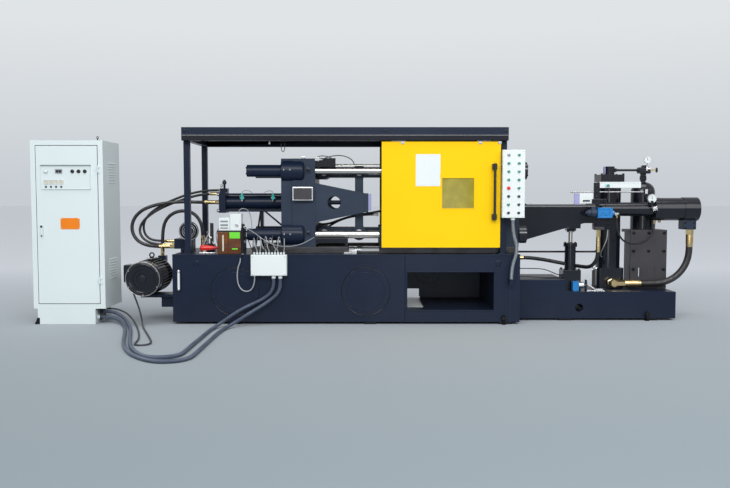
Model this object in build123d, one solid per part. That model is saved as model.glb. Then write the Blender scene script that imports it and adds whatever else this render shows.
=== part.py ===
from build123d import *
import math
import os

os.makedirs("parts", exist_ok=True)

# Millimetres. X runs along the machine, from the cabinet to the injection end, Y from the
# operator's side to the back, Z up. The origin is on the floor under the middle of the
# installation, and the clamp's and the shot cylinder's centre lines lie in the plane Y = 0.

# Clearances
fit = 0.3
seat_gap = 5.0

# Bed
bed_left = -1926.0
bed_length = 3315.0
bed_width = 950.0
bed_top = 670.0
bed_underside = 20.0
bay_width = 873.0
bay_end_wall = 226.0
bay_sill = 133.0
bay_lintel = 503.0
bay_wall = 20.0
bay_beam_depth = 235.0
bay_notch_width = 187.0
bay_notch_height = 100.0
way_height = 65.0
way_width = 110.0
way_lead = 281.0
pad_size = 120.0
bed_pad_inset = 586.0
bed_pad_count = 3
cover_radius = 226.0
cover_thickness = 8.0
cover_height = 318.0
cover_shares = (0.2685, 0.8321)
gauge_inset = 63.0
gauge_bottom = 326.0
gauge_length = 198.0
gauge_width = 40.0
gauge_depth = 14.0

# Platens and tie bars
platen_height = 850.0
platen_width = 704.0
platen_overhang = 6.0
tie_pitch = 616.0
tie_radius = 36.0
boss_radius = 88.0
boss_fillet = 14.0
rear_platen_depth = 330.0
rear_boss_length = 211.0
cheek_width = 220.0
cheek_step = 12.0
tie_cover_radius = 58.0
tie_cover_length = 332.0
tie_cover_wall = 14.0
moving_platen_depth = 180.0
moving_foot_reach = 252.0
moving_foot_height = 190.0
fixed_platen_depth = 225.0
die_opening = 690.0
nut_radius = 84.0
nut_length = 75.0
bar_end_length = 10.0

# Toggle, locked out straight
link_length = 347.0
front_lug_reach = 101.0
rear_lug_reach = 74.0
toggle_offset = 300.0
toggle_pin_radius = 38.0
link_eye_radius = 68.0
link_web_half = 50.0
link_thickness = 65.0
link_gap = 5.0
drive_eye_radius = 40.0
drive_waist_half = 40.0
drive_pin_radius = 22.0
drive_pin_offset = 46.0
crosshead_half_height = 90.0
crosshead_length = 150.0
slide_half_height = 60.0
arm_thickness = 40.0
arm_length = 474.0
arm_root_height = 380.0
arm_tip_height = 187.0
arm_hole_radius = 62.0
arm_hole_reach = 181.0

# Clamping cylinder
clamp_barrel_radius = 69.0
clamp_barrel_length = 580.0
clamp_cap_length = 66.0
clamp_cap_size = 206.0
clamp_rod_radius = 22.0
clamp_stud_radius = 11.0
clamp_valve_length = 74.0
clamp_valve_height = 38.0
clamp_lever_height = 86.0
stroke_box_length = 150.0
stroke_box_height = 84.0
stroke_box_width = 64.0
stroke_rod_radius = 8.0
stroke_rod_rise = 20.0

# Safety guard
guard_inset = 113.0
guard_end_inset = 137.0
guard_reach = 525.0
guard_underside = 1745.0
rail_height = 125.0
rail_depth = 80.0
rail_wall = 6.0
rail_slot = 24.0
roof_thickness = 5.0
post_size = 57.0

# Sliding door
door_inset = 69.0
door_width = 1122.0
door_clear_of_ways = 2.0
door_gap_above = 8.0
door_thickness = 40.0
door_sheet = 4.0
window_inset = 571.0
window_width = 300.0
window_rise = 372.0
window_height = 285.0
window_border = 22.0
window_pane = 6.0
handle_inset = 61.0
handle_rise = 260.0
handle_length = 535.0
handle_radius = 15.0
handle_reach = 52.0
handle_foot_half = 22.5
handle_foot_height = 58.0
hanger_inset = 160.0
hanger_thickness = 10.0
hanger_width = 130.0
roller_radius = 26.0
roller_width = 16.0
roller_spacing = 64.0

# Operator's panel
panel_lap = 62.0
panel_width = 208.0
panel_bottom = 1022.0
panel_height = 634.0
panel_depth = 70.0
panel_bracket_height = 40.0
button_radius = 14.0
button_reach = 14.0
button_rows = 8
button_pitch = 77.0
button_first = 46.0
button_margin = 56.0

# Electrical cabinet
cabinet_gap = 643.0
cabinet_width = 686.0
cabinet_depth = 500.0
cabinet_height = 1600.0
cabinet_sheet = 3.0
plinth_height = 150.0
plinth_inset_left = 35.0
plinth_inset_right = 99.0
cabinet_door_inset = 47.0
cabinet_door_rise = 45.0
cabinet_door_thickness = 25.0
cabinet_door_gap = 6.0
cabinet_hinge_radius = 8.0
cabinet_hinge_length = 66.0
cabinet_hinge_inset = 227.0
cabinet_leaf = 24.0
backplate_margin = 60.0
backplate_gap = 30.0
instrument_left = 55.0
instrument_width = 468.0
instrument_rise = 1093.0
instrument_height = 226.0
instrument_depth = 12.0
lock_height = 109.0
lock_width = 28.0
lock_depth = 18.0
lock_inset = 29.0
lock_rise = 692.0

# Motor and pump
motor_reach = 253.0
motor_z = 446.0
motor_core_radius = 148.0
motor_fin_height = 20.0
motor_fin_width = 5.0
motor_fin_count = 32
motor_front = -480.0
motor_length = 380.0
motor_shield_length = 26.0
fan_cover_radius = 164.0
fan_cover_length = 110.0
terminal_box_length = 150.0
terminal_box_height = 168.0
terminal_box_reach = 242.0
eye_radius = 28.0
eye_wire = 7.0
pump_radius = 78.0
pump_length = 200.0
pump_port_shift = 42.0
pump_port_half = 38.0
pump_port_top = 624.0
shelf_thickness = 30.0
shelf_web_drop = 96.0

# Oil manifold on the tank
manifold_reach = 64.0
tank_manifold_length = 96.0
tank_manifold_half = 130.0
tank_manifold_low = 30.0
tank_manifold_high = 130.0
filter_radius = 97.0
filter_x = -1826.0
filter_z = 880.0
filter_front = -206.0
filter_back = -136.0
filter_foot_half = 34.0

# Junction box and lubricator
junction_share = 0.3425
junction_width = 338.0
junction_drop = 195.0
junction_height = 196.0
junction_depth = 72.0
gland_radius = 10.0
gland_length = 22.0
gland_count = 11
lubricator_gap = 9.0
lubricator_width = 260.0
lubricator_depth = 150.0
reservoir_height = 226.0
left_head_height = 124.0
right_head_height = 161.0

# Injection end
base_front = -245.0
base_rear = 330.0
base_length = 1581.0
base_step = 495.0
base_high = 402.0
base_low = 284.0
base_hole_reach = 632.0
base_hole_z = 125.0
base_hole_radius = 40.0
shot_z = 1092.0
sleeve_outer = 55.0
sleeve_bore = 35.0
sleeve_reach = 150.0
sleeve_mouth = 90.0
frame_length = 787.0
frame_half_width = 175.0
frame_plate = 30.0
frame_flange = 50.0
frame_flange_top = 1250.0
frame_flange_curve = 90.0
frame_foot = 778.0
frame_mid = 912.0
frame_heel = 957.0
frame_mid_share = 0.627
frame_heel_share = 0.858
frame_bar_radius = 23.0
frame_rise = 47.0
frame_end = 40.0
shot_small_radius = 70.0
shot_small_length = 590.0
shot_large_radius = 114.0
shot_large_length = 290.0
shot_cap_radius = 120.0
shot_cap_length = 152.0
shot_flange_length = 24.0
plunger_radius = 30.0
port_block_half = 62.0
port_block_drop = 200.0
jack_reach = 597.0
jack_foot_half = 89.0
jack_radius = 55.0
jack_collar_radius = 68.0
jack_collar_height = 40.0
jack_rod_radius = 20.0
jack_head_half = 45.0
jack_body_bottom = 483.0
jack_body_top = 754.0
jack_head_bottom = 875.0
frame_pad_bottom = 905.0
tank_y = 195.0
accumulator_reach = 1038.0
accumulator_radius = 119.0
accumulator_bottom = 490.0
accumulator_top = 1369.0
accumulator_head = 74.0
accumulator_neck_radius = 52.0
accumulator_neck = 84.0
accumulator_block_half = 137.0
accumulator_block_round = 40.0
bottle_reach = 1404.0
bottle_y = 242.0
bottle_radius = 120.0
bottle_bottom = 881.0
bottle_shoulder = 1262.0
bottle_crown = 1369.0
bottle_neck_radius = 26.0
bottle_neck_top = 1455.0
bracket_width = 367.0
bracket_front = 35.0
bracket_plate = 30.0
bracket_hole_radius = 9.0
bracket_slot_length = 90.0
valve_lap = 31.0
valve_block_length = 154.0
valve_block_depth = 70.0
valve_block_bottom = 897.0
valve_block_top = 1062.0
valve_length = 104.0
valve_depth = 60.0
valve_bottom = 1008.0
valve_top = 1112.0
solenoid_radius = 24.0
solenoid_length = 44.0
gas_pipe_z = 1490.0
gas_pipe_radius = 12.0
neck_block_half = 60.0
dial_radius = 38.0
small_dial_radius = 45.0
dial_depth = 28.0
switch_rail_length = 413.0
switch_rail_bottom = 1305.0
switch_rail_top = 1364.0
switch_rod_z = 1265.0
switch_rod_radius = 6.0
switch_plate_thickness = 12.0

# Hoses, conduits and cables
clamp_hose_radius = 17.0
clamp_pilot_radius = 12.0
arch_hose_radius = 17.0
shot_hose_radius = 33.0
return_hose_radius = 19.0
drain_hose_radius = 9.0
conduit_radius = 16.0
panel_conduit_radius = 17.0
motor_cable_radius = 8.0
loop_radius = 6.0
ejector_hose_radius = 12.0

# Worked out from the sizes above
bed_right = bed_left + bed_length
bed_front = -bed_width / 2
bed_back = bed_width / 2
bay_right = bed_right - bay_end_wall
bay_left = bay_right - bay_width
tank_length = bay_left - bed_left
way_top = bed_top + way_height
centre_z = way_top + platen_height / 2
tie_half = tie_pitch / 2
platen_half = platen_width / 2
platen_bottom = way_top
platen_top = way_top + platen_height
fixed_platen_right = bed_right + platen_overhang
fixed_platen_left = fixed_platen_right - fixed_platen_depth
moving_platen_right = fixed_platen_left - die_opening
moving_platen_left = moving_platen_right - moving_platen_depth
toggle_front_x = moving_platen_left - front_lug_reach
toggle_knee_x = toggle_front_x - link_length
toggle_rear_x = toggle_knee_x - link_length
rear_platen_right = toggle_rear_x - rear_lug_reach
rear_platen_left = rear_platen_right - rear_platen_depth
tie_cover_end = rear_platen_left - tie_cover_length
way_left = rear_platen_left - way_lead
clamp_barrel_left = rear_platen_left - clamp_barrel_length
clamp_cap_left = clamp_barrel_left - clamp_cap_length
clamp_cap_half = clamp_cap_size / 2
guard_left = bed_left + guard_inset
guard_right = fixed_platen_right - guard_end_inset
guard_top = guard_underside + rail_height
guard_inner = guard_reach - rail_depth
track_y = -guard_reach + rail_depth / 2
door_bottom = way_top + door_clear_of_ways
door_top = guard_underside - door_gap_above
door_front = track_y - door_thickness / 2
door_back = door_front + door_thickness
door_right = guard_right - door_inset
door_left = door_right - door_width
window_left = door_left + window_inset
window_bottom = door_bottom + window_rise
handle_x = door_right - handle_inset
handle_bottom = door_bottom + handle_rise
panel_left = guard_right - panel_lap
panel_back = door_front
panel_front = panel_back - panel_depth
cabinet_right = bed_left - cabinet_gap
cabinet_left = cabinet_right - cabinet_width
cabinet_front = bed_front
cabinet_back = cabinet_front + cabinet_depth
cabinet_top = plinth_height + cabinet_height
plinth_right = cabinet_right - plinth_inset_right
cabinet_opening_left = cabinet_left + cabinet_door_inset
cabinet_opening_right = cabinet_right - cabinet_door_inset
cabinet_opening_bottom = plinth_height + cabinet_door_rise
cabinet_opening_top = cabinet_top - cabinet_door_rise
cabinet_door_front = cabinet_front - cabinet_sheet
cabinet_door_left = cabinet_opening_left + cabinet_door_gap
cabinet_door_right = cabinet_opening_right - cabinet_door_gap
cabinet_hinge_x = cabinet_opening_right - cabinet_door_gap / 2
cabinet_hinge_y = cabinet_door_front - cabinet_hinge_radius
motor_x = bed_left - motor_reach
motor_outer = motor_core_radius + motor_fin_height
pump_front = motor_front + motor_length
pump_port_x = motor_x + pump_port_shift
drop_half = bed_width / 2 - bay_beam_depth
lane_step = link_thickness + link_gap
outer_lane = 3 * lane_step
pin_half = outer_lane + link_thickness / 2
junction_left = bed_left + junction_share * tank_length
junction_bottom = bed_top - junction_drop
junction_back = bed_front - cover_thickness
junction_front = junction_back - junction_depth
lubricator_right = tie_cover_end - lubricator_gap
lubricator_left = lubricator_right - lubricator_width
base_right = bed_right + base_length
base_step_x = bed_right + base_step
frame_right = fixed_platen_right + frame_length
frame_top = shot_z + frame_rise
head_right = frame_right + frame_end
shot_small_end = head_right + shot_small_length
shot_large_end = shot_small_end + shot_large_length
shot_cap_end = shot_large_end + shot_cap_length
jack_x = bed_right + jack_reach
accumulator_x = bed_right + accumulator_reach
bottle_x = bed_right + bottle_reach
valve_left = frame_right - valve_lap
valve_right = valve_left + valve_block_length
valve_front = -frame_half_width - valve_block_depth
valve_face = valve_front - valve_depth

# Routes of the hoses, conduits and cables, from one fitting to the other
hose_clamp_outer_route = [
    (-1675, -20, 1162), (-1774, -20, 1166), (-1923, -25, 1169), (-2135, -37, 1151), (-2295, -49, 1103),
    (-2383, -58, 1034), (-2423, -65, 952), (-2423, -70, 872), (-2388, -76, 800), (-2326, -81, 750),
    (-2219, -87, 723), (-2120, -90, 722)]
hose_clamp_inner_route = [
    (-1555, 30, 1282), (-1625, 30, 1283), (-1729, 32, 1276), (-1884, 37, 1244), (-2091, 43, 1163),
    (-2240, 48, 1079), (-2319, 52, 997), (-2344, 55, 923), (-2336, 57, 855), (-2308, 58, 809),
    (-2258, 59, 778), (-2174, 60, 765), (-2105, 60, 768)]
hose_tank_arch_route = [
    (-2137, 0, 720), (-2139, 1, 820), (-2121, 3, 943), (-2075, 5, 1019), (-1996, 9, 1068),
    (-1901, 12, 1078), (-1824, 15, 1052), (-1768, 17, 994), (-1736, 19, 900), (-1734, 20, 800)]
hose_shot_large_route = [
    (3183, -15, 739), (3183, -15, 645), (3155, -15, 540), (3095, -15, 448), (3010, -15, 381),
    (2906, -15, 346), (2788, -15, 343), (2671, -15, 342)]
hose_frame_return_route = [
    (2205, -210, 700), (2205, -210, 655), (2196, -194, 592), (2175, -156, 542), (2146, -103, 515),
    (2107, -33, 513), (2056, 64, 516), (1985, 138, 526), (1880, 166, 545), (1765, 160, 568),
    (1650, 143, 585), (1570, 134, 592), (1511, 131, 592)]
hose_cylinder_drain_route = [
    (2380, -222, 1030), (2380, -222, 975), (2391, -219, 892), (2426, -206, 812), (2486, -186, 766),
    (2594, -147, 746), (2690, -103, 762), (2757, -66, 797), (2801, -33, 842), (2827, -9, 887),
    (2832, 0, 925), (2832, 0, 958)]
conduit_panel_route = [
    (1301, -540, 1000), (1327, -540, 892), (1353, -540, 719), (1327, -540, 546), (1294, -540, 440)]
conduit_floor_a_route = [
    (-956, -515, 446), (-956, -515, 398), (-964, -516, 352), (-986, -519, 310), (-1024, -523, 274),
    (-1090, -529, 234), (-1249, -546, 163), (-1365, -582, 91), (-1428, -641, 47), (-1467, -727, 24),
    (-1488, -874, 17), (-1491, -1100, 17), (-1493, -1387, 17), (-1497, -1649, 17), (-1496, -1824, 17),
    (-1496, -1940, 17), (-1511, -2015, 17), (-1554, -2070, 17), (-1617, -2101, 17), (-1686, -2101, 17),
    (-1749, -2071, 17), (-1809, -2003, 17), (-1880, -1887, 17), (-1970, -1698, 17), (-2060, -1430, 17),
    (-2136, -1153, 17), (-2213, -876, 17), (-2305, -623, 21), (-2388, -461, 47), (-2470, -380, 81),
    (-2548, -350, 101), (-2640, -343, 106)]
conduit_floor_b_route = [
    (-893, -515, 446), (-893, -515, 398), (-899, -517, 350), (-918, -520, 306), (-951, -524, 270),
    (-1046, -538, 201), (-1189, -575, 117), (-1285, -635, 58), (-1344, -722, 28), (-1379, -861, 18),
    (-1390, -1080, 17), (-1393, -1370, 17), (-1395, -1659, 17), (-1396, -1881, 17), (-1398, -2026, 17),
    (-1407, -2120, 17), (-1438, -2185, 17), (-1493, -2231, 17), (-1562, -2250, 17), (-1632, -2239, 17),
    (-1706, -2193, 17), (-1801, -2099, 17), (-1916, -1931, 17), (-2033, -1673, 17), (-2122, -1396, 17),
    (-2196, -1114, 17), (-2275, -835, 17), (-2353, -623, 21), (-2422, -494, 36), (-2488, -426, 50),
    (-2555, -400, 58), (-2640, -396, 60)]
cable_motor_route = [
    (-2370, -300, 375), (-2364, -306, 326), (-2334, -333, 256), (-2275, -393, 151), (-2221, -488, 51),
    (-2183, -605, 14), (-2116, -795, 9), (-2035, -1003, 9), (-1957, -1210, 9), (-1901, -1360, 9),
    (-1872, -1453, 9), (-1867, -1511, 9), (-1877, -1547, 9), (-1903, -1571, 9), (-1937, -1577, 9),
    (-1969, -1564, 9), (-1989, -1535, 9), (-1996, -1491, 9), (-2003, -1416, 9), (-2023, -1295, 9),
    (-2073, -1103, 9), (-2140, -891, 9), (-2213, -680, 11), (-2300, -476, 36), (-2408, -345, 91),
    (-2510, -297, 121), (-2590, -288, 127), (-2640, -288, 127)]
conduit_junction_loop_route = [
    (-1137, -515, 461), (-1138, -514, 426), (-1147, -512, 378), (-1165, -509, 343), (-1190, -507, 324),
    (-1218, -506, 319), (-1248, -505, 327), (-1275, -505, 350), (-1299, -504, 398), (-1305, -504, 478),
    (-1294, -504, 556), (-1281, -504, 607), (-1272, -504, 640)]
hose_ejector_route = [
    (-549, 285, 930), (-477, 285, 938), (-373, 285, 969), (-258, 285, 1007), (-139, 285, 1032),
    (-19, 285, 1049), (100, 285, 1074), (208, 285, 1088), (280, 285, 1090)]


def block(x0, x1, y0, y1, z0, z1):
    """A box between two opposite corners."""
    return Pos((x0 + x1) / 2, (y0 + y1) / 2, (z0 + z1) / 2) * Box(x1 - x0, y1 - y0, z1 - z0)


def rod_x(radius, x0, x1, y, z):
    """A round bar along X."""
    return Pos((x0 + x1) / 2, y, z) * Rot(0, 90, 0) * Cylinder(radius, x1 - x0)


def rod_y(radius, y0, y1, x, z):
    """A round bar along Y."""
    return Pos(x, (y0 + y1) / 2, z) * Rot(90, 0, 0) * Cylinder(radius, y1 - y0)


def rod_z(radius, z0, z1, x, y):
    """A round bar along Z."""
    return Pos(x, y, (z0 + z1) / 2) * Cylinder(radius, z1 - z0)


def plate_y(points, y0, y1):
    """A plate standing along X, cut to an outline of (x, z) points."""
    outline = Polyline([(x, y0, z) for x, z in points], close=True)
    return extrude(make_face(outline), y1 - y0, dir=(0, 1, 0))


def save(name, *solids):
    """Write one named piece, made of one solid or of several that lie apart."""
    shape = solids[0] if len(solids) == 1 else Compound(children=list(solids))
    export_step(shape, f"parts/{name}.step")


def tie_places():
    """The four tie-bar centre lines as (y, z) pairs."""
    return [(y * tie_half, centre_z + z * tie_half) for y in (-1, 1) for z in (-1, 1)]


# Bed

def bed_tank():
    tank = block(bed_left, bay_left, bed_front, bed_back, bed_underside, bed_top)
    shelf_top = motor_z - motor_outer
    shelf_under = shelf_top - shelf_thickness
    shelf_front = motor_front + motor_length / 5
    shelf_back = pump_front - motor_length / 5
    tank += block(motor_x - motor_core_radius / 2, bed_left, shelf_front, shelf_back, shelf_under,
                  shelf_top)
    tank += block(motor_x + motor_core_radius - shelf_thickness, bed_left,
                  shelf_front + shelf_thickness, shelf_back - shelf_thickness,
                  shelf_under - shelf_web_drop, shelf_under)
    return tank


def bed_bay():
    """The open bay under the die space, where castings drop in and are raked out."""
    inner_left = bay_left + bay_wall
    inner_right = bay_right - bay_wall
    bay = block(bay_left, bed_right, bed_front, bed_back, bed_underside, bed_top)
    bay -= block(inner_left, inner_right, bed_front, bed_back - bay_wall, bay_sill, bay_lintel)
    bay -= block(inner_left, inner_right, -drop_half, drop_half, bay_lintel, bed_top)
    bay -= block(inner_left, inner_left + bay_notch_width, bed_back - bay_wall, bed_back,
                 bay_sill, bay_sill + bay_notch_height)
    return bay


def levelling_pads():
    half = pad_size / 2
    first = bed_left + bed_pad_inset
    last = bed_right - pad_size - pad_size / 6
    pads = []
    for i in range(bed_pad_count):
        x = first + i * (last - first) / (bed_pad_count - 1)
        for y in (bed_front + half, bed_back - half):
            pads.append(block(x - half, x + half, y - half, y + half, 0, bed_underside))
    for x in (base_step_x, base_right - 2 * pad_size):
        for y in (base_front + half, base_rear - half):
            pads.append(block(x - half, x + half, y - half, y + half, 0, bed_underside))
    return pads


def guide_ways():
    half = way_width / 2
    return [block(way_left, bed_right, y - half, y + half, bed_top, way_top)
            for y in (-tie_half, tie_half)]


def bed_fittings():
    """Round access covers, oil level gauge and cable elbows on the front of the bed."""
    fittings = []
    for share in cover_shares:
        x = bed_left + share * tank_length
        fittings.append(rod_y(cover_radius, bed_front - cover_thickness, bed_front, x, cover_height))
    half = gauge_width / 2
    gauge_x = bed_left + gauge_inset
    fittings.append(block(gauge_x - half, gauge_x + half, bed_front - gauge_depth, bed_front,
                          gauge_bottom, gauge_bottom + gauge_length))
    x, y, z = panel_conduit_end
    elbow = rod_z(panel_conduit_radius + 4, z - 35, z, x, y)
    elbow += rod_y(panel_conduit_radius + 4, y - panel_conduit_radius - 4, bed_front, x, z - 35)
    fittings.append(elbow)
    x, y, z = loop_end
    fittings.append(block(x - 2 * loop_radius, x + 2 * loop_radius, y - 2 * loop_radius, bed_front,
                          z, z + 4 * loop_radius))
    return fittings


# Platens

def lugs(face_x, pivot_x, lanes):
    """Lugs of a platen that stand beside the link eyes and hold the pivot pins."""
    half = link_thickness / 2
    low, high = min(face_x, pivot_x), max(face_x, pivot_x)
    lug_set = []
    for side in (-1, 1):
        z = centre_z + side * toggle_offset
        for lane in lanes:
            y = lane * lane_step
            lug = rod_y(link_eye_radius, y - half, y + half, pivot_x, z)
            lug += block(low, high, y - half, y + half, z - link_eye_radius, z + link_eye_radius)
            lug -= rod_y(toggle_pin_radius + fit, y - half, y + half, pivot_x, z)
            lug_set.append(lug)
    return lug_set


def rear_platen():
    boss_end = rear_platen_left + rear_boss_length
    cheek_left = rear_platen_right - cheek_width
    body = block(rear_platen_left, rear_platen_right, -platen_half + cheek_step,
                 platen_half - cheek_step, platen_bottom, platen_top)
    body += block(cheek_left, rear_platen_right, -platen_half, platen_half,
                  platen_bottom, platen_top)
    for y, z in tie_places():
        boss = rod_x(boss_radius, rear_platen_left, boss_end, y, z)
        body += fillet(boss.edges().sort_by(Axis.X)[-1], boss_fillet)
    for lug in lugs(rear_platen_right, toggle_rear_x, (-1, 1)):
        body += lug
    x, y, z = ejector_start
    body += rod_x(ejector_hose_radius + 4, rear_platen_right, x, y, z)
    for y, z in tie_places():
        body -= rod_x(tie_radius + fit, rear_platen_left, rear_platen_right, y, z)
    body -= rod_x(clamp_rod_radius + fit, rear_platen_left, rear_platen_right, 0, centre_z)
    return body


def moving_platen():
    body = block(moving_platen_left, moving_platen_right, -platen_half, platen_half,
                 platen_bottom, platen_top)
    foot_left = moving_platen_left - moving_foot_reach
    for side in (-1, 1):
        y = side * tie_half
        body += block(foot_left, moving_platen_left, y - way_width / 2, y + way_width / 2,
                      platen_bottom, platen_bottom + moving_foot_height)
        body += rod_x(boss_radius, moving_platen_left - boss_radius, moving_platen_left, y,
                      centre_z + tie_half)
    for lug in lugs(moving_platen_left, toggle_front_x, (-2, 0, 2)):
        body += lug
    x, y, z = ejector_end
    body += rod_x(ejector_hose_radius + 4, x, moving_platen_left, y, z)
    for y, z in tie_places():
        body -= rod_x(tie_radius + fit, foot_left, moving_platen_right, y, z)
    return body


def fixed_platen():
    body = block(fixed_platen_left, fixed_platen_right, -platen_half, platen_half,
                 platen_bottom, platen_top)
    for y, z in tie_places():
        body -= rod_x(tie_radius + fit, fixed_platen_left, fixed_platen_right, y, z)
    body -= rod_x(sleeve_outer + fit, fixed_platen_left, fixed_platen_right, 0, shot_z)
    return body


def tie_bars():
    left = tie_cover_end + 2 * tie_cover_wall
    nut_end = fixed_platen_right + nut_length
    bars = []
    for y, z in tie_places():
        bar = rod_x(tie_radius, left, nut_end + bar_end_length, y, z)
        bar += rod_x(nut_radius, fixed_platen_right, nut_end, y, z)
        bars.append(bar)
    return bars


def tie_bar_covers():
    covers = []
    for y, z in tie_places():
        cover = rod_x(tie_cover_radius, tie_cover_end, rear_platen_left, y, z)
        cover -= rod_x(tie_cover_radius - tie_cover_wall, tie_cover_end + tie_cover_wall,
                       rear_platen_left, y, z)
        covers.append(cover)
    return covers


# Toggle

def link(x0, z0, x1, z1, lane, radius0, radius1, web_half, bore0, bore1):
    """A link plate: two bored eyes joined by a web that is narrower than the eyes."""
    y0 = lane * lane_step - link_thickness / 2
    y1 = y0 + link_thickness
    length = math.hypot(x1 - x0, z1 - z0)
    angle = math.degrees(math.atan2(z1 - z0, x1 - x0))
    web = Pos(length / 2, (y0 + y1) / 2, 0) * Box(length, link_thickness, 2 * web_half)
    plate = Pos(x0, 0, z0) * Rot(0, -angle, 0) * web
    plate += rod_y(radius0, y0, y1, x0, z0)
    plate += rod_y(radius1, y0, y1, x1, z1)
    plate -= rod_y(bore0, y0, y1, x0, z0)
    plate -= rod_y(bore1, y0, y1, x1, z1)
    return plate


def toggle_links():
    """Rear links, front links and the short drive links of the upper and lower toggle."""
    bore = toggle_pin_radius + fit
    links = []
    for side in (-1, 1):
        z = centre_z + side * toggle_offset
        for lane in (-2, 0, 2):
            links.append(link(toggle_rear_x, z, toggle_knee_x, z, lane, link_eye_radius,
                              link_eye_radius, link_web_half, bore, bore))
        for lane in (-1, 1):
            links.append(link(toggle_knee_x, z, toggle_front_x, z, lane, link_eye_radius,
                              link_eye_radius, link_web_half, bore, bore))
        for lane in (-3, 3):
            links.append(link(toggle_knee_x, z, toggle_knee_x, centre_z + side * drive_pin_offset,
                              lane, link_eye_radius, drive_eye_radius, drive_waist_half, bore,
                              drive_pin_radius + fit))
    return links


def toggle_pins():
    inner_half = 2 * lane_step + link_thickness / 2
    pins = []
    for side in (-1, 1):
        z = centre_z + side * toggle_offset
        pins.append(rod_y(toggle_pin_radius, -inner_half, inner_half, toggle_rear_x, z))
        pins.append(rod_y(toggle_pin_radius, -pin_half, pin_half, toggle_knee_x, z))
        pins.append(rod_y(toggle_pin_radius, -inner_half, inner_half, toggle_front_x, z))
    return pins


def crosshead():
    """The crosshead with its piston rod, its link pins and the blocks that slide in the guides."""
    left = toggle_knee_x - crosshead_length / 2
    right = toggle_knee_x + crosshead_length / 2
    body_half = 2 * lane_step + link_thickness / 2
    slide_outer = platen_half - arm_thickness - fit
    slide_inner = outer_lane + link_thickness / 2 + link_gap
    head = block(left, right, -body_half, body_half, centre_z - crosshead_half_height,
                 centre_z + crosshead_half_height)
    for side in (-1, 1):
        low, high = sorted((side * slide_inner, side * slide_outer))
        head += block(left, right, low, high, centre_z - slide_half_height,
                      centre_z + slide_half_height)
        head += rod_y(drive_pin_radius, -slide_inner, slide_inner, toggle_knee_x,
                      centre_z + side * drive_pin_offset)
    head += rod_x(clamp_rod_radius, clamp_barrel_left + clamp_cap_length, left, 0, centre_z)
    return head


def crosshead_guides():
    tip = rear_platen_right + arm_length
    hole_x = rear_platen_right + arm_hole_reach
    root_half = arm_root_height / 2
    tip_half = arm_tip_height / 2
    outline = [(rear_platen_right, centre_z - root_half), (tip, centre_z - tip_half),
               (tip, centre_z + tip_half), (rear_platen_right, centre_z + root_half)]
    guides = []
    for y in (-platen_half, platen_half - arm_thickness):
        guide = plate_y(outline, y, y + arm_thickness)
        guide -= rod_y(arm_hole_radius, y, y + arm_thickness, hole_x, centre_z)
        guides.append(guide)
    return guides


def clamp_cylinder():
    """Barrel, end cap, tie studs and the small lever valve on the cap."""
    half = clamp_cap_half
    stud_at = half - 2 * clamp_stud_radius
    cap_top = centre_z + half
    cylinder = block(clamp_cap_left, clamp_barrel_left, -half, half, centre_z - half, cap_top)
    cylinder += rod_x(clamp_barrel_radius, clamp_barrel_left, rear_platen_left, 0, centre_z)
    for y in (-stud_at, stud_at):
        for z in (-stud_at, stud_at):
            cylinder += rod_x(clamp_stud_radius, clamp_barrel_left, rear_platen_left, y,
                              centre_z + z)
    cylinder -= rod_x(clamp_rod_radius + fit, clamp_barrel_left + clamp_cap_length / 2,
                      rear_platen_left, 0, centre_z)
    valve_right = clamp_cap_left + clamp_valve_length
    cylinder += block(clamp_cap_left, valve_right, -half / 4, half * 0.6, cap_top,
                      cap_top + clamp_valve_height)
    cylinder += rod_z(clamp_stud_radius, cap_top + clamp_valve_height,
                      cap_top + clamp_valve_height + clamp_lever_height,
                      clamp_cap_left + clamp_valve_length / 2, half / 6)
    return cylinder


def clamp_stroke_gauge():
    """A switch box over the front upper tie bar and the rod that works it."""
    z0 = centre_z + tie_half + tie_radius + 1
    rod_z0 = z0 + stroke_rod_rise
    y0 = -tie_half - stroke_box_width / 2
    y1 = y0 + stroke_box_width
    gauge = block(rear_platen_right, rear_platen_right + stroke_box_length * 1.3, y0, y1, z0,
                  z0 + stroke_box_height)
    return gauge + rod_x(stroke_rod_radius, rear_platen_right, moving_platen_left - boss_radius,
                         -tie_half, rod_z0)


# Guard

def guard_rails():
    rails = []
    for side in (-1, 1):
        low, high = sorted((side * guard_reach, side * guard_inner))
        middle = (low + high) / 2
        rail = block(guard_left, guard_right, low, high, guard_underside, guard_top)
        rail -= block(guard_left, guard_right, low + rail_wall, high - rail_wall,
                      guard_underside + rail_wall, guard_top - rail_wall)
        rail -= block(guard_left, guard_right, middle - rail_slot / 2, middle + rail_slot / 2,
                      guard_underside, guard_underside + rail_wall)
        rails.append(rail)
    return rails


def guard_roof():
    """The roof sheet with the cross rail under each end."""
    roof = block(guard_left, guard_right, -guard_inner, guard_inner,
                 guard_top - roof_thickness, guard_top)
    for x in (guard_left, guard_right - post_size):
        roof += block(x, x + post_size, -guard_inner, guard_inner, guard_underside,
                      guard_top - roof_thickness)
    return roof


def guard_posts():
    return [block(x, x + post_size, y, y + post_size, bed_top, guard_underside)
            for x in (guard_left, guard_right - post_size)
            for y in (-guard_inner, guard_inner - post_size)]


def folded_panel(y0, y1, outside, top):
    """A sheet panel with its four edges folded back, its face on the outside."""
    low, high = (y0 + door_sheet, y1) if outside < 0 else (y0, y1 - door_sheet)
    panel = block(door_left, door_right, y0, y1, door_bottom, top)
    panel -= block(door_left + door_sheet, door_right - door_sheet, low, high,
                   door_bottom + door_sheet, top - door_sheet)
    return panel


def rear_guard_panel():
    """The fixed panel at the back, on two feet that stand on the bed's edge."""
    panel = folded_panel(-door_back, -door_front, 1, guard_underside)
    for x in (door_left, door_right - post_size):
        panel += block(x, x + post_size, -door_back, bed_back, bed_top, door_bottom)
    return panel


# Sliding door

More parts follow.
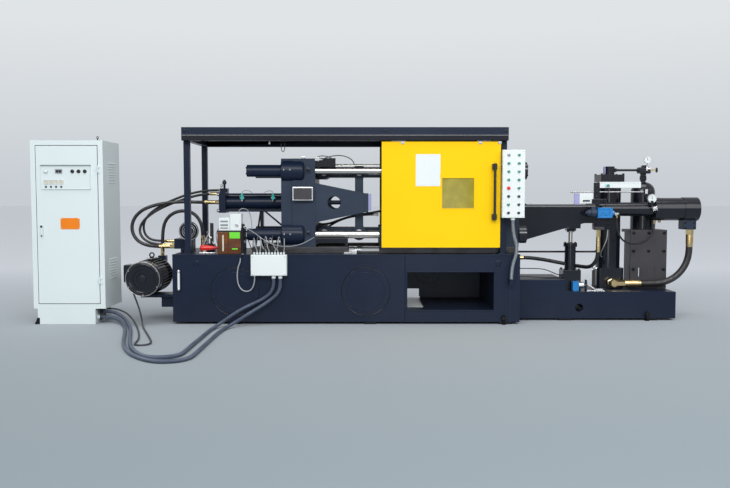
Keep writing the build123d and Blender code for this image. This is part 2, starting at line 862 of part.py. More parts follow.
def safety_door_panel():
    panel = folded_panel(door_front, door_back, -1, door_top)
    return panel - block(window_left, window_left + window_width, door_front, door_back,
                         window_bottom, window_bottom + window_height)


def safety_door_window():
    y0 = door_front + door_sheet
    return block(window_left - window_border, window_left + window_width + window_border,
                 y0, y0 + window_pane, window_bottom - window_border,
                 window_bottom + window_height + window_border)


def safety_door_handle():
    handle_y = door_front - handle_reach
    handle_top = handle_bottom + handle_length
    bar = rod_z(handle_radius, handle_bottom, handle_top, handle_x, handle_y)
    for z in (handle_bottom, handle_top - handle_foot_height):
        bar += block(handle_x - handle_foot_half, handle_x + handle_foot_half, handle_y, door_front,
                     z, z + handle_foot_height)
    return bar


def door_hangers():
    """Two hangers on the door's top edge, with rollers that run on the lips of the rail."""
    roller_z = guard_underside + rail_wall + fit + roller_radius
    half = hanger_thickness / 2
    hangers = []
    for x in (door_left + hanger_inset, door_right - hanger_inset):
        hanger = block(x - hanger_width / 2, x + hanger_width / 2, track_y - half,
                       track_y + half, door_top, roller_z + roller_radius / 2)
        for dx in (-roller_spacing / 2, roller_spacing / 2):
            hanger += rod_y(roller_radius, track_y - half - roller_width,
                            track_y + half + roller_width, x + dx, roller_z)
        hangers.append(hanger)
    return hangers


# Operator's panel

def operator_panel():
    right = panel_left + panel_width
    box = block(panel_left, right, panel_front, panel_back, panel_bottom,
                panel_bottom + panel_height)
    half = panel_bracket_height / 2
    for share in (0.2, 0.8):
        z = panel_bottom + share * panel_height
        box += block(guard_right - post_size, guard_right, panel_back, -guard_inner,
                     z - half, z + half)
    x, y, z = panel_conduit_start
    return box + rod_z(panel_conduit_radius + 4, z, panel_bottom, x, y)


def operator_buttons():
    buttons = []
    for row in range(button_rows):
        z = panel_bottom + button_first + row * button_pitch
        for x in (panel_left + button_margin, panel_left + panel_width - button_margin):
            buttons.append(rod_y(button_radius, panel_front - button_reach, panel_front, x, z))
    return buttons


# Electrical cabinet

def hinge_heights():
    """Height of the middle of the lower and the upper hinge."""
    return (cabinet_opening_bottom + cabinet_hinge_inset, cabinet_opening_top - cabinet_hinge_inset)


def cabinet_shell():
    t = cabinet_sheet
    shell = block(cabinet_left, cabinet_right, cabinet_front, cabinet_back, plinth_height,
                  cabinet_top)
    shell -= block(cabinet_left + t, cabinet_right - t, cabinet_front + t, cabinet_back - t,
                   plinth_height + t, cabinet_top - t)
    shell -= block(cabinet_opening_left, cabinet_opening_right, cabinet_front, cabinet_front + t,
                   cabinet_opening_bottom, cabinet_opening_top)
    m = backplate_margin
    shell += block(cabinet_left + m, cabinet_right - m, cabinet_back - t - backplate_gap,
                   cabinet_back - t, plinth_height + m, cabinet_top - m)
    third = cabinet_hinge_length / 3
    leaf_right = cabinet_opening_right + cabinet_leaf
    for z in hinge_heights():
        for low in (z - cabinet_hinge_length / 2, z + third / 2):
            shell += rod_z(cabinet_hinge_radius, low, low + third, cabinet_hinge_x,
                           cabinet_hinge_y)
            shell += block(cabinet_opening_right, leaf_right, cabinet_door_front, cabinet_front,
                           low, low + third)
            shell += block(cabinet_hinge_x, leaf_right,
                           cabinet_hinge_y + cabinet_hinge_radius - t,
                           cabinet_door_front, low, low + third)
    return shell


def cabinet_door():
    t = cabinet_sheet
    back = cabinet_door_front + cabinet_door_thickness
    bottom = cabinet_opening_bottom + cabinet_door_gap
    top = cabinet_opening_top - cabinet_door_gap
    door = block(cabinet_door_left, cabinet_door_right, cabinet_door_front, back, bottom, top)
    door -= block(cabinet_door_left + t, cabinet_door_right - t, cabinet_door_front + t, back,
                  bottom + t, top - t)
    third = cabinet_hinge_length / 3
    for z in hinge_heights():
        low = z - third / 2 + fit
        high = z + third / 2 - fit
        door += rod_z(cabinet_hinge_radius, low, high, cabinet_hinge_x, cabinet_hinge_y)
        door += block(cabinet_door_right - cabinet_leaf, cabinet_hinge_x,
                      cabinet_hinge_y + cabinet_hinge_radius - t, cabinet_door_front, low, high)
    return door


def cabinet_door_fittings():
    """The raised instrument frame and the swing-handle lock on the cabinet door."""
    x0 = cabinet_opening_left + instrument_left
    z0 = cabinet_opening_bottom + instrument_rise
    frame = block(x0, x0 + instrument_width, cabinet_door_front - instrument_depth,
                  cabinet_door_front, z0, z0 + instrument_height)
    x1 = cabinet_door_left + lock_inset
    z1 = plinth_height + lock_rise
    lock = block(x1, x1 + lock_width, cabinet_door_front - lock_depth, cabinet_door_front,
                 z1, z1 + lock_height)
    return [frame, lock]


def cabinet_plinth():
    """The plinth, with the glands that take in the floor conduits and the motor's cable."""
    plinth = block(cabinet_left + plinth_inset_left, plinth_right, cabinet_front,
                   cabinet_back - plinth_inset_left, 0, plinth_height)
    for end, radius in ((conduit_a_end, conduit_radius + 4), (conduit_b_end, conduit_radius + 4),
                        (motor_cable_end, motor_cable_radius + 4)):
        x, y, z = end
        plinth += rod_x(radius, plinth_right, x, y, z)
    return plinth


# Motor and pump

def motor():
    """Finned body with fan cover, end shield, terminal box, cable gland and lifting eye."""
    body = rod_y(motor_core_radius, motor_front, pump_front, motor_x, motor_z)
    fin_front = motor_front + motor_shield_length
    fin_back = pump_front - motor_shield_length
    for i in range(motor_fin_count):
        fin = block(motor_core_radius - motor_fin_width, motor_outer, fin_front, fin_back,
                    -motor_fin_width / 2, motor_fin_width / 2)
        body += Pos(motor_x, 0, motor_z) * Rot(0, i * 360 / motor_fin_count, 0) * fin
    body += rod_y(motor_outer, fin_back, pump_front, motor_x, motor_z)
    cover = rod_y(fan_cover_radius, motor_front - fan_cover_length, motor_front, motor_x, motor_z)
    body += fillet(cover.edges().sort_by(Axis.Y)[0], fan_cover_length / 5)
    middle = (motor_front + pump_front) / 2
    box_bottom = motor_z - terminal_box_height / 3
    body += block(motor_x - terminal_box_reach, motor_x - motor_core_radius + motor_fin_height,
                  middle - terminal_box_length / 2, middle + terminal_box_length / 2,
                  box_bottom, box_bottom + terminal_box_height)
    x, y, z = motor_cable_start
    body += rod_z(motor_cable_radius + 4, z, box_bottom, x, y)
    eye_z = motor_z + motor_outer + eye_radius
    eye = Pos(motor_x, middle, eye_z) * Rot(90, 0, 0) * Torus(eye_radius - eye_wire, eye_wire)
    body += eye
    body += rod_z(1.6 * eye_wire, motor_z + motor_core_radius, eye_z - eye_radius + 2 * eye_wire,
                  motor_x, middle)
    return body


def hydraulic_pump():
    pump = rod_y(pump_radius, pump_front, pump_front + pump_length, motor_x, motor_z)
    middle = pump_front + pump_length / 2
    pump += block(pump_port_x - pump_port_half, pump_port_x + pump_port_half,
                  middle - pump_port_half, middle + pump_port_half, motor_z, pump_port_top)
    return pump


def tank_manifold():
    """The block on the end of the tank where the clamp hoses come in, and the filter drum by it."""
    manifold = block(bed_left, bed_left + tank_manifold_length, -tank_manifold_half,
                     tank_manifold_half, bed_top, bed_top + tank_manifold_high)
    manifold += block(bed_left - manifold_reach, bed_left, -tank_manifold_half,
                      tank_manifold_half, bed_top + tank_manifold_low,
                      bed_top + tank_manifold_high)
    drum = rod_y(filter_radius, filter_front, filter_back, filter_x, filter_z)
    drum += block(filter_x - filter_foot_half, filter_x + filter_foot_half, filter_front,
                  filter_back, bed_top, filter_z)
    return [manifold, drum]


# Junction box and lubricator

def junction_box():
    """The box with cable glands along its top and the conduit glands under it."""
    right = junction_left + junction_width
    top = junction_bottom + junction_height
    box = block(junction_left, right, junction_front, junction_back, junction_bottom, top)
    box += block(junction_left, right, junction_back, bed_front,
                 cover_height + cover_radius + seat_gap, bed_top)
    pitch = junction_width / (gland_count + 1)
    y = (junction_front + junction_back) / 2
    for i in range(gland_count):
        x = junction_left + (i + 1) * pitch
        box += rod_z(gland_radius, top, top + gland_length, x, y)
    for start, radius in ((conduit_a_start, conduit_radius + 4), (conduit_b_start, conduit_radius + 4),
                          (loop_start, loop_radius + 3)):
        box += rod_z(radius, start[2], junction_bottom, start[0], start[1])
    return box


def lubricator():
    """A reservoir with a low and a high pump head on top of it."""
    y0 = bed_front + seat_gap
    y1 = y0 + lubricator_depth
    middle = (lubricator_left + lubricator_right) / 2
    head_bottom = bed_top + reservoir_height
    unit = block(lubricator_left, lubricator_right, y0, y1, bed_top, head_bottom)
    unit += block(lubricator_left + 4 * seat_gap, middle - 2 * seat_gap, y0 + seat_gap,
                  y1 - 6 * seat_gap, head_bottom, head_bottom + left_head_height)
    unit += block(middle - seat_gap, lubricator_right - 5 * seat_gap, y0 + seat_gap,
                  y1 - 4 * seat_gap, head_bottom, head_bottom + right_head_height)
    return unit


# Injection end

def injection_base():
    outline = [(bed_right, bed_underside), (base_right, bed_underside), (base_right, base_low),
               (base_step_x, base_low), (base_step_x, base_high), (bed_right, base_high)]
    base = plate_y(outline, base_front, base_rear)
    return base - rod_y(base_hole_radius, base_front, base_rear, bed_right + base_hole_reach,
                        base_hole_z)


def injection_frame():
    """Two tapered side plates between a flange on the fixed platen and the cylinder's head."""
    flange_right = fixed_platen_right + frame_flange
    mid_x = flange_right + (frame_right - flange_right) * frame_mid_share
    heel_x = flange_right + (frame_right - flange_right) * frame_heel_share
    curve_x = flange_right + frame_flange_curve
    curve_z = frame_top + frame_flange_curve
    curve = []
    for step in range(1, 5):
        angle = math.radians(step * 18)
        curve.append((curve_x - frame_flange_curve * math.sin(angle),
                      curve_z - frame_flange_curve * math.cos(angle)))
    outline = [(flange_right, frame_foot), (mid_x, frame_mid), (heel_x, frame_heel),
               (frame_right, frame_heel), (frame_right, frame_top), (curve_x, frame_top)]
    outline += curve + [(flange_right, curve_z)]
    frame = block(fixed_platen_right, flange_right, -frame_half_width, frame_half_width,
                  frame_foot, frame_flange_top)
    for side in (-1, 1):
        low, high = sorted((side * frame_half_width, side * (frame_half_width - frame_plate)))
        frame += plate_y(outline, low, high)
        frame += rod_x(frame_bar_radius, flange_right, frame_right,
                       side * (frame_half_width - frame_plate / 2), frame_top - frame_bar_radius)
    frame += block(frame_right, head_right, -frame_half_width, frame_half_width, frame_heel,
                   frame_top + frame_bar_radius)
    frame += block(jack_x - jack_radius, jack_x + jack_radius, -frame_half_width,
                   frame_half_width, frame_pad_bottom, frame_heel)
    frame -= rod_x(sleeve_outer + fit, fixed_platen_right, flange_right, 0, shot_z)
    frame -= rod_x(plunger_radius + fit, frame_right, head_right, 0, shot_z)
    return frame


def shot_sleeve():
    """The sleeve with the mouth in its top, where the metal is poured in."""
    end = fixed_platen_right + frame_flange + sleeve_reach
    sleeve = rod_x(sleeve_outer, fixed_platen_left, end, 0, shot_z)
    sleeve -= rod_x(sleeve_bore, fixed_platen_left, end, 0, shot_z)
    mouth_right = end - sleeve_outer / 2
    return sleeve - block(mouth_right - sleeve_mouth, mouth_right, -sleeve_bore * 0.7,
                          sleeve_bore * 0.7, shot_z, shot_z + sleeve_outer)


def shot_cylinder():
    """The shot cylinder with its plunger rod, which ends in the sleeve behind the mouth."""
    tip_left = fixed_platen_right + frame_flange + sleeve_reach - sleeve_outer / 3
    tip_right = tip_left + 2 * sleeve_bore
    cylinder = rod_x(shot_small_radius, head_right, shot_small_end, 0, shot_z)
    cylinder += rod_x(plunger_radius, tip_right, head_right, 0, shot_z)
    return cylinder + rod_x(sleeve_bore - fit, tip_left, tip_right, 0, shot_z)


def intensifier():
    """The large cylinder behind the shot cylinder, with its cap and its port block."""
    body = rod_x(shot_large_radius, shot_small_end, shot_large_end, 0, shot_z)
    body += rod_x(shot_cap_radius, shot_large_end, shot_cap_end, 0, shot_z)
    body += block(shot_large_end, shot_cap_end - shot_flange_length, -port_block_half,
                  port_block_half, shot_z - port_block_drop, shot_z)
    return body


def support_jack():
    jack = block(jack_x - jack_foot_half, jack_x + jack_foot_half, -jack_foot_half,
                 jack_foot_half, base_low, jack_body_bottom)
    jack += rod_z(jack_radius, jack_body_bottom, jack_body_top, jack_x, 0)
    jack += rod_z(jack_collar_radius, jack_body_top - jack_collar_height, jack_body_top, jack_x, 0)
    jack += rod_z(jack_rod_radius, jack_body_top, jack_head_bottom, jack_x, 0)
    jack += block(jack_x - jack_head_half, jack_x + jack_head_half, -jack_head_half,
                  jack_head_half, jack_head_bottom, frame_pad_bottom)
    return jack


def accumulator():
    """The accumulator between its base block and its square head."""
    half = accumulator_block_half
    front = tank_y - accumulator_radius
    back = tank_y + accumulator_radius
    vessel = block(accumulator_x - half, accumulator_x + half, front, back, base_low,
                   accumulator_bottom)
    vessel = fillet(vessel.edges().filter_by(Axis.Z), accumulator_block_round)
    vessel += rod_z(accumulator_radius, accumulator_bottom, accumulator_top, accumulator_x, tank_y)
    head_top = accumulator_top + accumulator_head
    vessel += block(accumulator_x - accumulator_radius, accumulator_x + accumulator_radius,
                    front, back, accumulator_top, head_top)
    vessel += rod_z(accumulator_neck_radius, head_top, head_top + accumulator_neck,
                    accumulator_x, tank_y)
    return vessel


def gas_bottle():
    bottle = rod_z(bottle_radius, bottle_bottom, bottle_crown, bottle_x, bottle_y)
    bottle = fillet(bottle.edges().sort_by(Axis.Z)[-1], bottle_crown - bottle_shoulder)
    return bottle + rod_z(bottle_neck_radius, bottle_shoulder, bottle_neck_top, bottle_x, bottle_y)


def bottle_bracket():
    """The stand of the gas bottle, with its bolt holes and two slots in the front plate."""
    half = bracket_width / 2
    x0, x1 = bottle_x - half, bottle_x + half
    front = bracket_front
    back = base_rear
    plate_back = front + bracket_plate
    bracket = block(x0, x1, front, plate_back, base_low, bottle_bottom)
    bracket += block(x0, x1, front, back, bottle_bottom - bracket_plate, bottle_bottom)
    bracket += block(x0, x1, front, back, base_low, base_low + bracket_plate)
    for x in (x0 + bracket_plate, x1 - 2 * bracket_plate):
        bracket += block(x, x + bracket_plate, front, back, base_low, bottle_bottom)
    height = bottle_bottom - base_low
    for x in (x0 + bracket_plate, bottle_x, x1 - bracket_plate):
        for share in (0.05, 0.36, 0.67):
            if x == bottle_x and share > 0.5:
                continue
            z = bottle_bottom - share * height
            bracket -= rod_y(bracket_hole_radius, front, plate_back, x, z)
    for x in (bottle_x - half / 2, bottle_x + half / 3):
        z = base_low + height * 0.28
        bracket -= block(x - bracket_hole_radius, x + bracket_hole_radius, front, plate_back,
                         z - bracket_slot_length / 2, z + bracket_slot_length / 2)
    return bracket


def directional_valves():
    """The port block on the side of the frame, with its valve between two solenoids."""
    blocks = block(valve_left, valve_right, valve_front, -frame_half_width, valve_block_bottom,
                   valve_block_top)
    x0 = valve_left + (valve_block_length - valve_length) / 2 + 12
    x1 = x0 + valve_length
    z = (valve_bottom + valve_top) / 2
    y = (valve_face + valve_front) / 2
    blocks += block(x0, x1, valve_face, valve_front, valve_bottom, valve_top)
    return blocks + rod_x(solenoid_radius, x0 - solenoid_length, x1 + solenoid_length, y, z)


def gas_pipework():
    """The pipe from the accumulator to the bottle, its block, its valve and the pressure gauges."""
    block_left = bottle_x - neck_block_half
    block_right = bottle_x + neck_block_half
    neck_top = gas_pipe_z + neck_block_half / 2
    work = rod_x(gas_pipe_radius, accumulator_x + accumulator_neck_radius - fit, block_left, tank_y,
                 gas_pipe_z)
    work -= rod_z(accumulator_neck_radius, accumulator_top, accumulator_top + 2 * accumulator_neck,
                  accumulator_x, tank_y)
    work += block(block_left, block_right, tank_y - gas_pipe_radius, bottle_y + bottle_neck_radius,
                  bottle_neck_top, neck_top)
    work += rod_x(gas_pipe_radius, block_right, block_right + neck_block_half, bottle_y, gas_pipe_z)
    work += rod_x(2 * gas_pipe_radius, block_right + neck_block_half,
                  block_right + neck_block_half + gas_pipe_radius, bottle_y, gas_pipe_z)
    dial_x = bottle_x + bottle_neck_radius
    dial_z = neck_top + dial_radius * 1.6
    dial_y = tank_y + gas_pipe_radius
    work += rod_z(gas_pipe_radius / 2, neck_top, dial_z, dial_x, dial_y)
    work += rod_y(dial_radius, dial_y - dial_depth / 2, dial_y + dial_depth / 2, dial_x, dial_z)
    x = shot_small_end - shot_small_radius * 0.7
    z = shot_z + shot_small_radius * 1.5
    half = gas_pipe_radius
    low_gauge = block(x - half, x + half, -shot_small_radius, half, shot_z + shot_small_radius / 2, z)
    low_gauge -= rod_x(shot_small_radius, head_right, shot_small_end, 0, shot_z)
    low_gauge += rod_y(small_dial_radius, -shot_small_radius - dial_depth, -shot_small_radius, x, z)
    return [work, low_gauge]


def switch_rail():
    """The rail of the shot's position switches, on a plate and a post over the frame."""
    y1 = -frame_half_width + frame_plate
    y0 = y1 - switch_plate_thickness
    post_top = switch_rail_top - switch_plate_thickness
    rail = block(head_right + 2, head_right + switch_rail_length, y0, y1, switch_rail_bottom,
                 switch_rail_top)
    rail += block(frame_right, head_right + 2, y0, y1, frame_top + frame_bar_radius, post_top)
    plate_left = frame_right - 145
    rail += block(plate_left, frame_right - 6, y0, y1, frame_top, switch_rod_z - 10)
    rail += block(plate_left - 60, plate_left - 10, y0, y1, frame_top, switch_rod_z + 10)
    rail += rod_x(switch_rod_radius, plate_left - 100, head_right + switch_rail_length, (y0 + y1) / 2,
                  switch_rod_z)
    return rail


# Fittings, hoses, conduits and cables

def brass_fittings():
    """The hydraulic hose ends, from each hose's end to the piece that it is screwed into."""
    port_y = clamp_outer_start[1]
    fittings = [rod_x(clamp_hose_radius + 3, clamp_outer_start[0], clamp_cap_left, port_y,
                      clamp_outer_start[2])]
    fittings.append(rod_x(clamp_pilot_radius + 3, clamp_inner_start[0], clamp_cap_left,
                          clamp_inner_start[1], clamp_inner_start[2]))
    for end, radius in ((clamp_outer_end, clamp_hose_radius), (clamp_inner_end, clamp_pilot_radius)):
        fittings.append(rod_x(radius + 3, end[0], bed_left - manifold_reach, end[1], end[2]))
    fittings.append(rod_z(arch_hose_radius + 2, pump_port_top, arch_start[2], pump_port_x, 0))
    fittings.append(rod_z(arch_hose_radius + 2, bed_top, arch_end[2], arch_end[0], arch_end[1]))
    x, y, z = shot_hose_start
    fittings.append(rod_z(shot_hose_radius + 5, z, shot_z - port_block_drop, x, y))
    x, y, z = shot_hose_end
    radius = shot_hose_radius + 4
    elbow = rod_x(radius, accumulator_x, x, y, z)
    elbow += rod_y(radius, y - radius, tank_y - accumulator_radius, accumulator_x, z)
    fittings.append(elbow)
    x, y, z = return_hose_start
    fittings.append(rod_z(return_hose_radius + 3, z, valve_block_bottom, x, y))
    x, y, z = return_hose_end
    fittings.append(rod_x(return_hose_radius + 3, bed_right, x, y, z))
    x, y, z = drain_hose_start
    rise = drain_hose_radius + 6
    elbow = rod_x(drain_hose_radius + 2, valve_right, x + drain_hose_radius + 2, y, z + rise)
    fittings.append(elbow + rod_z(drain_hose_radius + 2, z, z + rise, x, y))
    x, y, z = drain_hose_end
    nipple = rod_z(drain_hose_radius + 3, z, z + shot_large_radius, x, y)
    fittings.append(nipple - rod_x(shot_large_radius, shot_small_end, shot_large_end, 0, shot_z))
    return fittings


def between(route, start, leave, end, arrive, ease=1.0):
    """The route with its ends moved onto two fittings and its end runs square to them."""
    runs = [math.dist(a, b) for a, b in zip(route, route[1:])]
    total = sum(runs)
    points = []
    for i, point in enumerate(route):
        share = sum(runs[:i]) / total
        near_start = max(0.0, 1 - share / ease)
        near_end = max(0.0, 1 - (1 - share) / ease)
        points.append(tuple(point[k] + near_start * (start[k] - route[0][k])
                            + near_end * (end[k] - route[-1][k]) for k in range(3)))
    points[1] = tuple(start[k] + leave[k] * runs[0] for k in range(3))
    points[-2] = tuple(end[k] + arrive[k] * runs[-1] for k in range(3))
    return points


def tube(name, radius, points):
    """A round tube along straight runs that are joined by tangent arcs."""
    radii = []
    for before, here, after in zip(points, points[1:], points[2:]):
        into = Vector(here) - Vector(before)
        out = Vector(after) - Vector(here)
        turn = math.radians(into.get_angle(out))
        radii.append(0.45 * min(into.length, out.length) / math.tan(turn / 2))
    print(name, "arc radii", [round(r) for r in radii])
    path = FilletPolyline(*points, radius=radii)
    section = Plane(origin=path @ 0, z_dir=path % 0) * Circle(radius)
    return sweep(section, path=path)


# Where the hoses, conduits and cables begin and end
clamp_outer_start = (clamp_cap_left - 130, -20, centre_z + 2)
clamp_outer_end = (bed_left - 194, -90, bed_top + 52)
clamp_inner_start = (clamp_cap_left - 10, 30, centre_z + clamp_cap_half + clamp_valve_height / 2)
clamp_inner_end = (bed_left - 179, 60, bed_top + 98)
arch_start = (pump_port_x, 0, pump_port_top + 96)
arch_end = (bed_left + 192, 20, bed_top + 130)
shot_hose_start = (shot_large_end + 81, -15, shot_z - port_block_drop - 153)
shot_hose_end = (accumulator_x + 244, -15, base_low + 58)
return_hose_start = (frame_right + 23, -frame_half_width - 35, valve_block_bottom - 197)
return_hose_end = (bed_right + 122, 131, bed_top - 78)
drain_hose_start = (valve_right + 75, -frame_half_width - 47, shot_z - 62)
drain_hose_end = (shot_small_end + 20, 0, shot_z - shot_large_radius - 20)
panel_conduit_start = (panel_left + 105, (panel_front + panel_back) / 2, panel_bottom - 22)
panel_conduit_end = (panel_left + 98, (panel_front + panel_back) / 2, bed_top - 230)
junction_middle = (junction_front + junction_back) / 2
conduit_a_start = (junction_left + 211, junction_middle, junction_bottom - 29)
conduit_a_end = (plinth_right + 28, cabinet_front + 132, 106)
conduit_b_start = (junction_left + 274, junction_middle, junction_bottom - 29)
conduit_b_end = (plinth_right + 28, cabinet_front + 79, 60)
motor_cable_start = (motor_x - 191, (motor_front + pump_front) / 2 - 10,
                     motor_z - terminal_box_height / 3 - 15)
motor_cable_end = (plinth_right + 28, cabinet_front + 187, 127)
loop_start = (junction_left + 30, junction_middle, junction_bottom - 14)
loop_end = (bed_left + 654, bed_front - 29, bed_top - 30)
ejector_start = (rear_platen_right + 20, 285, centre_z - 230)
ejector_end = (moving_platen_left - 20, 285, centre_z - 70)


def cords():
    """Every hose, conduit and cable as (name, radius, points)."""
    left, right, up, down = (-1, 0, 0), (1, 0, 0), (0, 0, 1), (0, 0, -1)
    return [
        ("hose_clamp_outer", clamp_hose_radius,
         between(hose_clamp_outer_route, clamp_outer_start, left, clamp_outer_end, left)),
        ("hose_clamp_inner", clamp_pilot_radius,
         between(hose_clamp_inner_route, clamp_inner_start, left, clamp_inner_end, left)),
        ("hose_tank_arch", arch_hose_radius,
         between(hose_tank_arch_route, arch_start, up, arch_end, up)),
        ("hose_shot_large", shot_hose_radius,
         between(hose_shot_large_route, shot_hose_start, down, shot_hose_end, right)),
        ("hose_frame_return", return_hose_radius,
         between(hose_frame_return_route, return_hose_start, down, return_hose_end, right)),
        ("hose_cylinder_drain", drain_hose_radius,
         between(hose_cylinder_drain_route, drain_hose_start, down, drain_hose_end, down)),
        ("conduit_panel", panel_conduit_radius,
         between(conduit_panel_route, panel_conduit_start, down, panel_conduit_end, up)),
        ("conduit_floor_a", conduit_radius,
         between(conduit_floor_a_route, conduit_a_start, down, conduit_a_end, right, 0.2)),
        ("conduit_floor_b", conduit_radius,
         between(conduit_floor_b_route, conduit_b_start, down, conduit_b_end, right, 0.2)),
        ("cable_motor", motor_cable_radius,
         between(cable_motor_route, motor_cable_start, down, motor_cable_end, right, 0.2)),
        ("conduit_junction_loop", loop_radius,
         between(conduit_junction_loop_route, loop_start, down, loop_end, down)),
        ("hose_ejector", ejector_hose_radius,
         between(hose_ejector_route, ejector_start, right, ejector_end, left))]


save("bed_tank", bed_tank())
save("bed_bay", bed_bay())
save("levelling_pads", *levelling_pads())
save("guide_ways", *guide_ways())
save("bed_fittings", *bed_fittings())
save("rear_platen", rear_platen())
save("moving_platen", moving_platen())
save("fixed_platen", fixed_platen())
save("tie_bars", *tie_bars())
save("tie_bar_covers", *tie_bar_covers())
save("toggle_links", *toggle_links())
save("toggle_pins", *toggle_pins())
save("crosshead", crosshead())
save("crosshead_guides", *crosshead_guides())
save("clamp_cylinder", clamp_cylinder())
save("clamp_stroke_gauge", clamp_stroke_gauge())
save("guard_rails", *guard_rails())
save("guard_roof", guard_roof())
save("guard_posts", *guard_posts())
save("rear_guard_panel", rear_guard_panel())
save("safety_door_panel", safety_door_panel())
save("safety_door_window", safety_door_window())
save("safety_door_handle", safety_door_handle())
save("door_hangers", *door_hangers())
save("operator_panel", operator_panel())
save("operator_buttons", *operator_buttons())
save("cabinet_shell", cabinet_shell())
save("cabinet_door", cabinet_door())
save("cabinet_door_fittings", *cabinet_door_fittings())
save("cabinet_plinth", cabinet_plinth())
save("motor", motor())
save("hydraulic_pump", hydraulic_pump())
save("tank_manifold", *tank_manifold())
save("junction_box", junction_box())
save("lubricator", lubricator())
save("injection_base", injection_base())
save("injection_frame", injection_frame())
save("shot_sleeve", shot_sleeve())
save("shot_cylinder", shot_cylinder())
save("intensifier", intensifier())
save("support_jack", support_jack())
save("accumulator", accumulator())
save("gas_bottle", gas_bottle())
save("bottle_bracket", bottle_bracket())
save("directional_valves", directional_valves())
save("gas_pipework", *gas_pipework())
save("switch_rail", switch_rail())
save("brass_fittings", *brass_fittings())
for cord_name, cord_radius, cord_points in cords():
    save(cord_name, tube(cord_name, cord_radius, cord_points))
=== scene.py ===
import itertools
import math
import bpy
from mathutils import Matrix, Vector


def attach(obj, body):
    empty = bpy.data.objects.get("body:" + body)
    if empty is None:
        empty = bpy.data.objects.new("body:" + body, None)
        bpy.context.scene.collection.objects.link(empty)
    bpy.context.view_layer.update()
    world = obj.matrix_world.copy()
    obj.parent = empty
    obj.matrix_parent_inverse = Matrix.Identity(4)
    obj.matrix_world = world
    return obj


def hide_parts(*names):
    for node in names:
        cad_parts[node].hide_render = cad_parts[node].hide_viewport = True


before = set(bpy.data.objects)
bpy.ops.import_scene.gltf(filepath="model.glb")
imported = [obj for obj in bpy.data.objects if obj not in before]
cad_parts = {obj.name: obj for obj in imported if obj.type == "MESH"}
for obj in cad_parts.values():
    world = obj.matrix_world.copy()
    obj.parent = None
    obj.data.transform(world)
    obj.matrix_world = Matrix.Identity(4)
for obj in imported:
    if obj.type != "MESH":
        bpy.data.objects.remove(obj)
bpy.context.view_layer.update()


# shader maths written as plain expressions
class Wire:
    def __init__(self, finish, socket):
        self.finish = finish
        self.socket = socket

    def reckon(self, operation, first, second):
        return self.finish.node("ShaderNodeMath", {"operation": operation}, {0: first, 1: second})

    def __rsub__(self, other):
        return self.reckon("SUBTRACT", other, self)


for method, operation in {"__add__": "ADD", "__radd__": "ADD", "__mul__": "MULTIPLY",
                          "__rmul__": "MULTIPLY", "__sub__": "SUBTRACT", "__truediv__": "DIVIDE",
                          "__pow__": "POWER", "atLeast": "MAXIMUM", "atMost": "MINIMUM"}.items():
    setattr(Wire, method, lambda self, other, operation=operation: self.reckon(operation, self, other))


class Finish:
    def __init__(self, name):
        self.material = bpy.data.materials.new(name)
        self.material.use_nodes = True
        self.tree = self.material.node_tree
        self.shader = self.tree.nodes["Principled BSDF"]
        self.place = self.node("ShaderNodeTexCoord", output="Object")

    def node(self, kind, settings=None, sockets=None, output=0):
        made = self.tree.nodes.new(kind)
        for key, value in (settings or {}).items():
            setattr(made, key, value)
        for key, value in (sockets or {}).items():
            if isinstance(value, Wire):
                self.tree.links.new(value.socket, made.inputs[key])
            else:
                made.inputs[key].default_value = value
        return Wire(self, made.outputs[output])

    def noise(self, scale, detail=3.0, stretch=(1, 1, 1)):
        spread = self.node("ShaderNodeMapping", None, {"Vector": self.place, "Scale": stretch})
        return self.node("ShaderNodeTexNoise", None, {"Vector": spread, "Scale": scale, "Detail": detail,
                                                      "Roughness": 0.5})

    def axis(self, name, source=None):
        return self.node("ShaderNodeSeparateXYZ", None, {0: source or self.place}, name)

    def blend(self, share, first, second):
        first = first if isinstance(first, Wire) else (*first, 1)
        second = second if isinstance(second, Wire) else (*second, 1)
        return self.node("ShaderNodeMix", {"data_type": "RGBA"}, {0: share, 6: first, 7: second}, 2)

    def bump(self, height, strength, distance):
        return self.node("ShaderNodeBump", None,
                         {"Strength": strength, "Distance": distance, "Height": height})

    def wear(self, **sockets):
        for key, value in sockets.items():
            socket = self.shader.inputs[key.replace("_", " ")]
            if isinstance(value, Wire):
                self.tree.links.new(value.socket, socket)
            else:
                socket.default_value = value
        return self.material


def paintFinish(name, look):
    coat = Finish(name)
    cloud = coat.noise(look["cloud"], 4)
    orangePeel = coat.noise(look["grain"], 2)
    upward = coat.axis("Z", coat.node("ShaderNodeNewGeometry", output="Normal")).atLeast(0)
    dust = (upward ** 3) * coat.noise(9, 5) * look["dust"]
    tone = coat.blend(cloud, look["dark"], look["light"])
    height = coat.axis("Z")
    grime = (1 - height / 0.35).atLeast(0) * coat.noise(5, 5, (1, 1, 0.4)) * look["grime"]
    tone = coat.blend(grime, tone, look["dirt"])
    return coat.wear(Base_Color=coat.blend(dust, tone, look["dustColour"]),
                     Roughness=(cloud - 0.5) * 0.16 + look["rough"] + dust * 0.3,
                     Specular_IOR_Level=look["shine"], Coat_Weight=look["coat"], Coat_Roughness=0.12,
                     Normal=coat.bump(orangePeel, look["bump"], look["depth"]))


def metalFinish(name, look):
    metal = Finish(name)
    streak = metal.noise(look["streak"], 3, look["stretch"])
    spots = metal.noise(6, 5)
    stain = (spots - 0.52).atLeast(0) * look["stain"]
    return metal.wear(Base_Color=metal.blend(stain, metal.blend(streak, look["dark"], look["light"]),
                                             look["stainColour"]),
                      Metallic=1.0, Roughness=(streak - 0.5) * look["vary"] + look["rough"] + stain * 0.3,
                      Normal=metal.bump(streak, look["bump"], 0.0006))


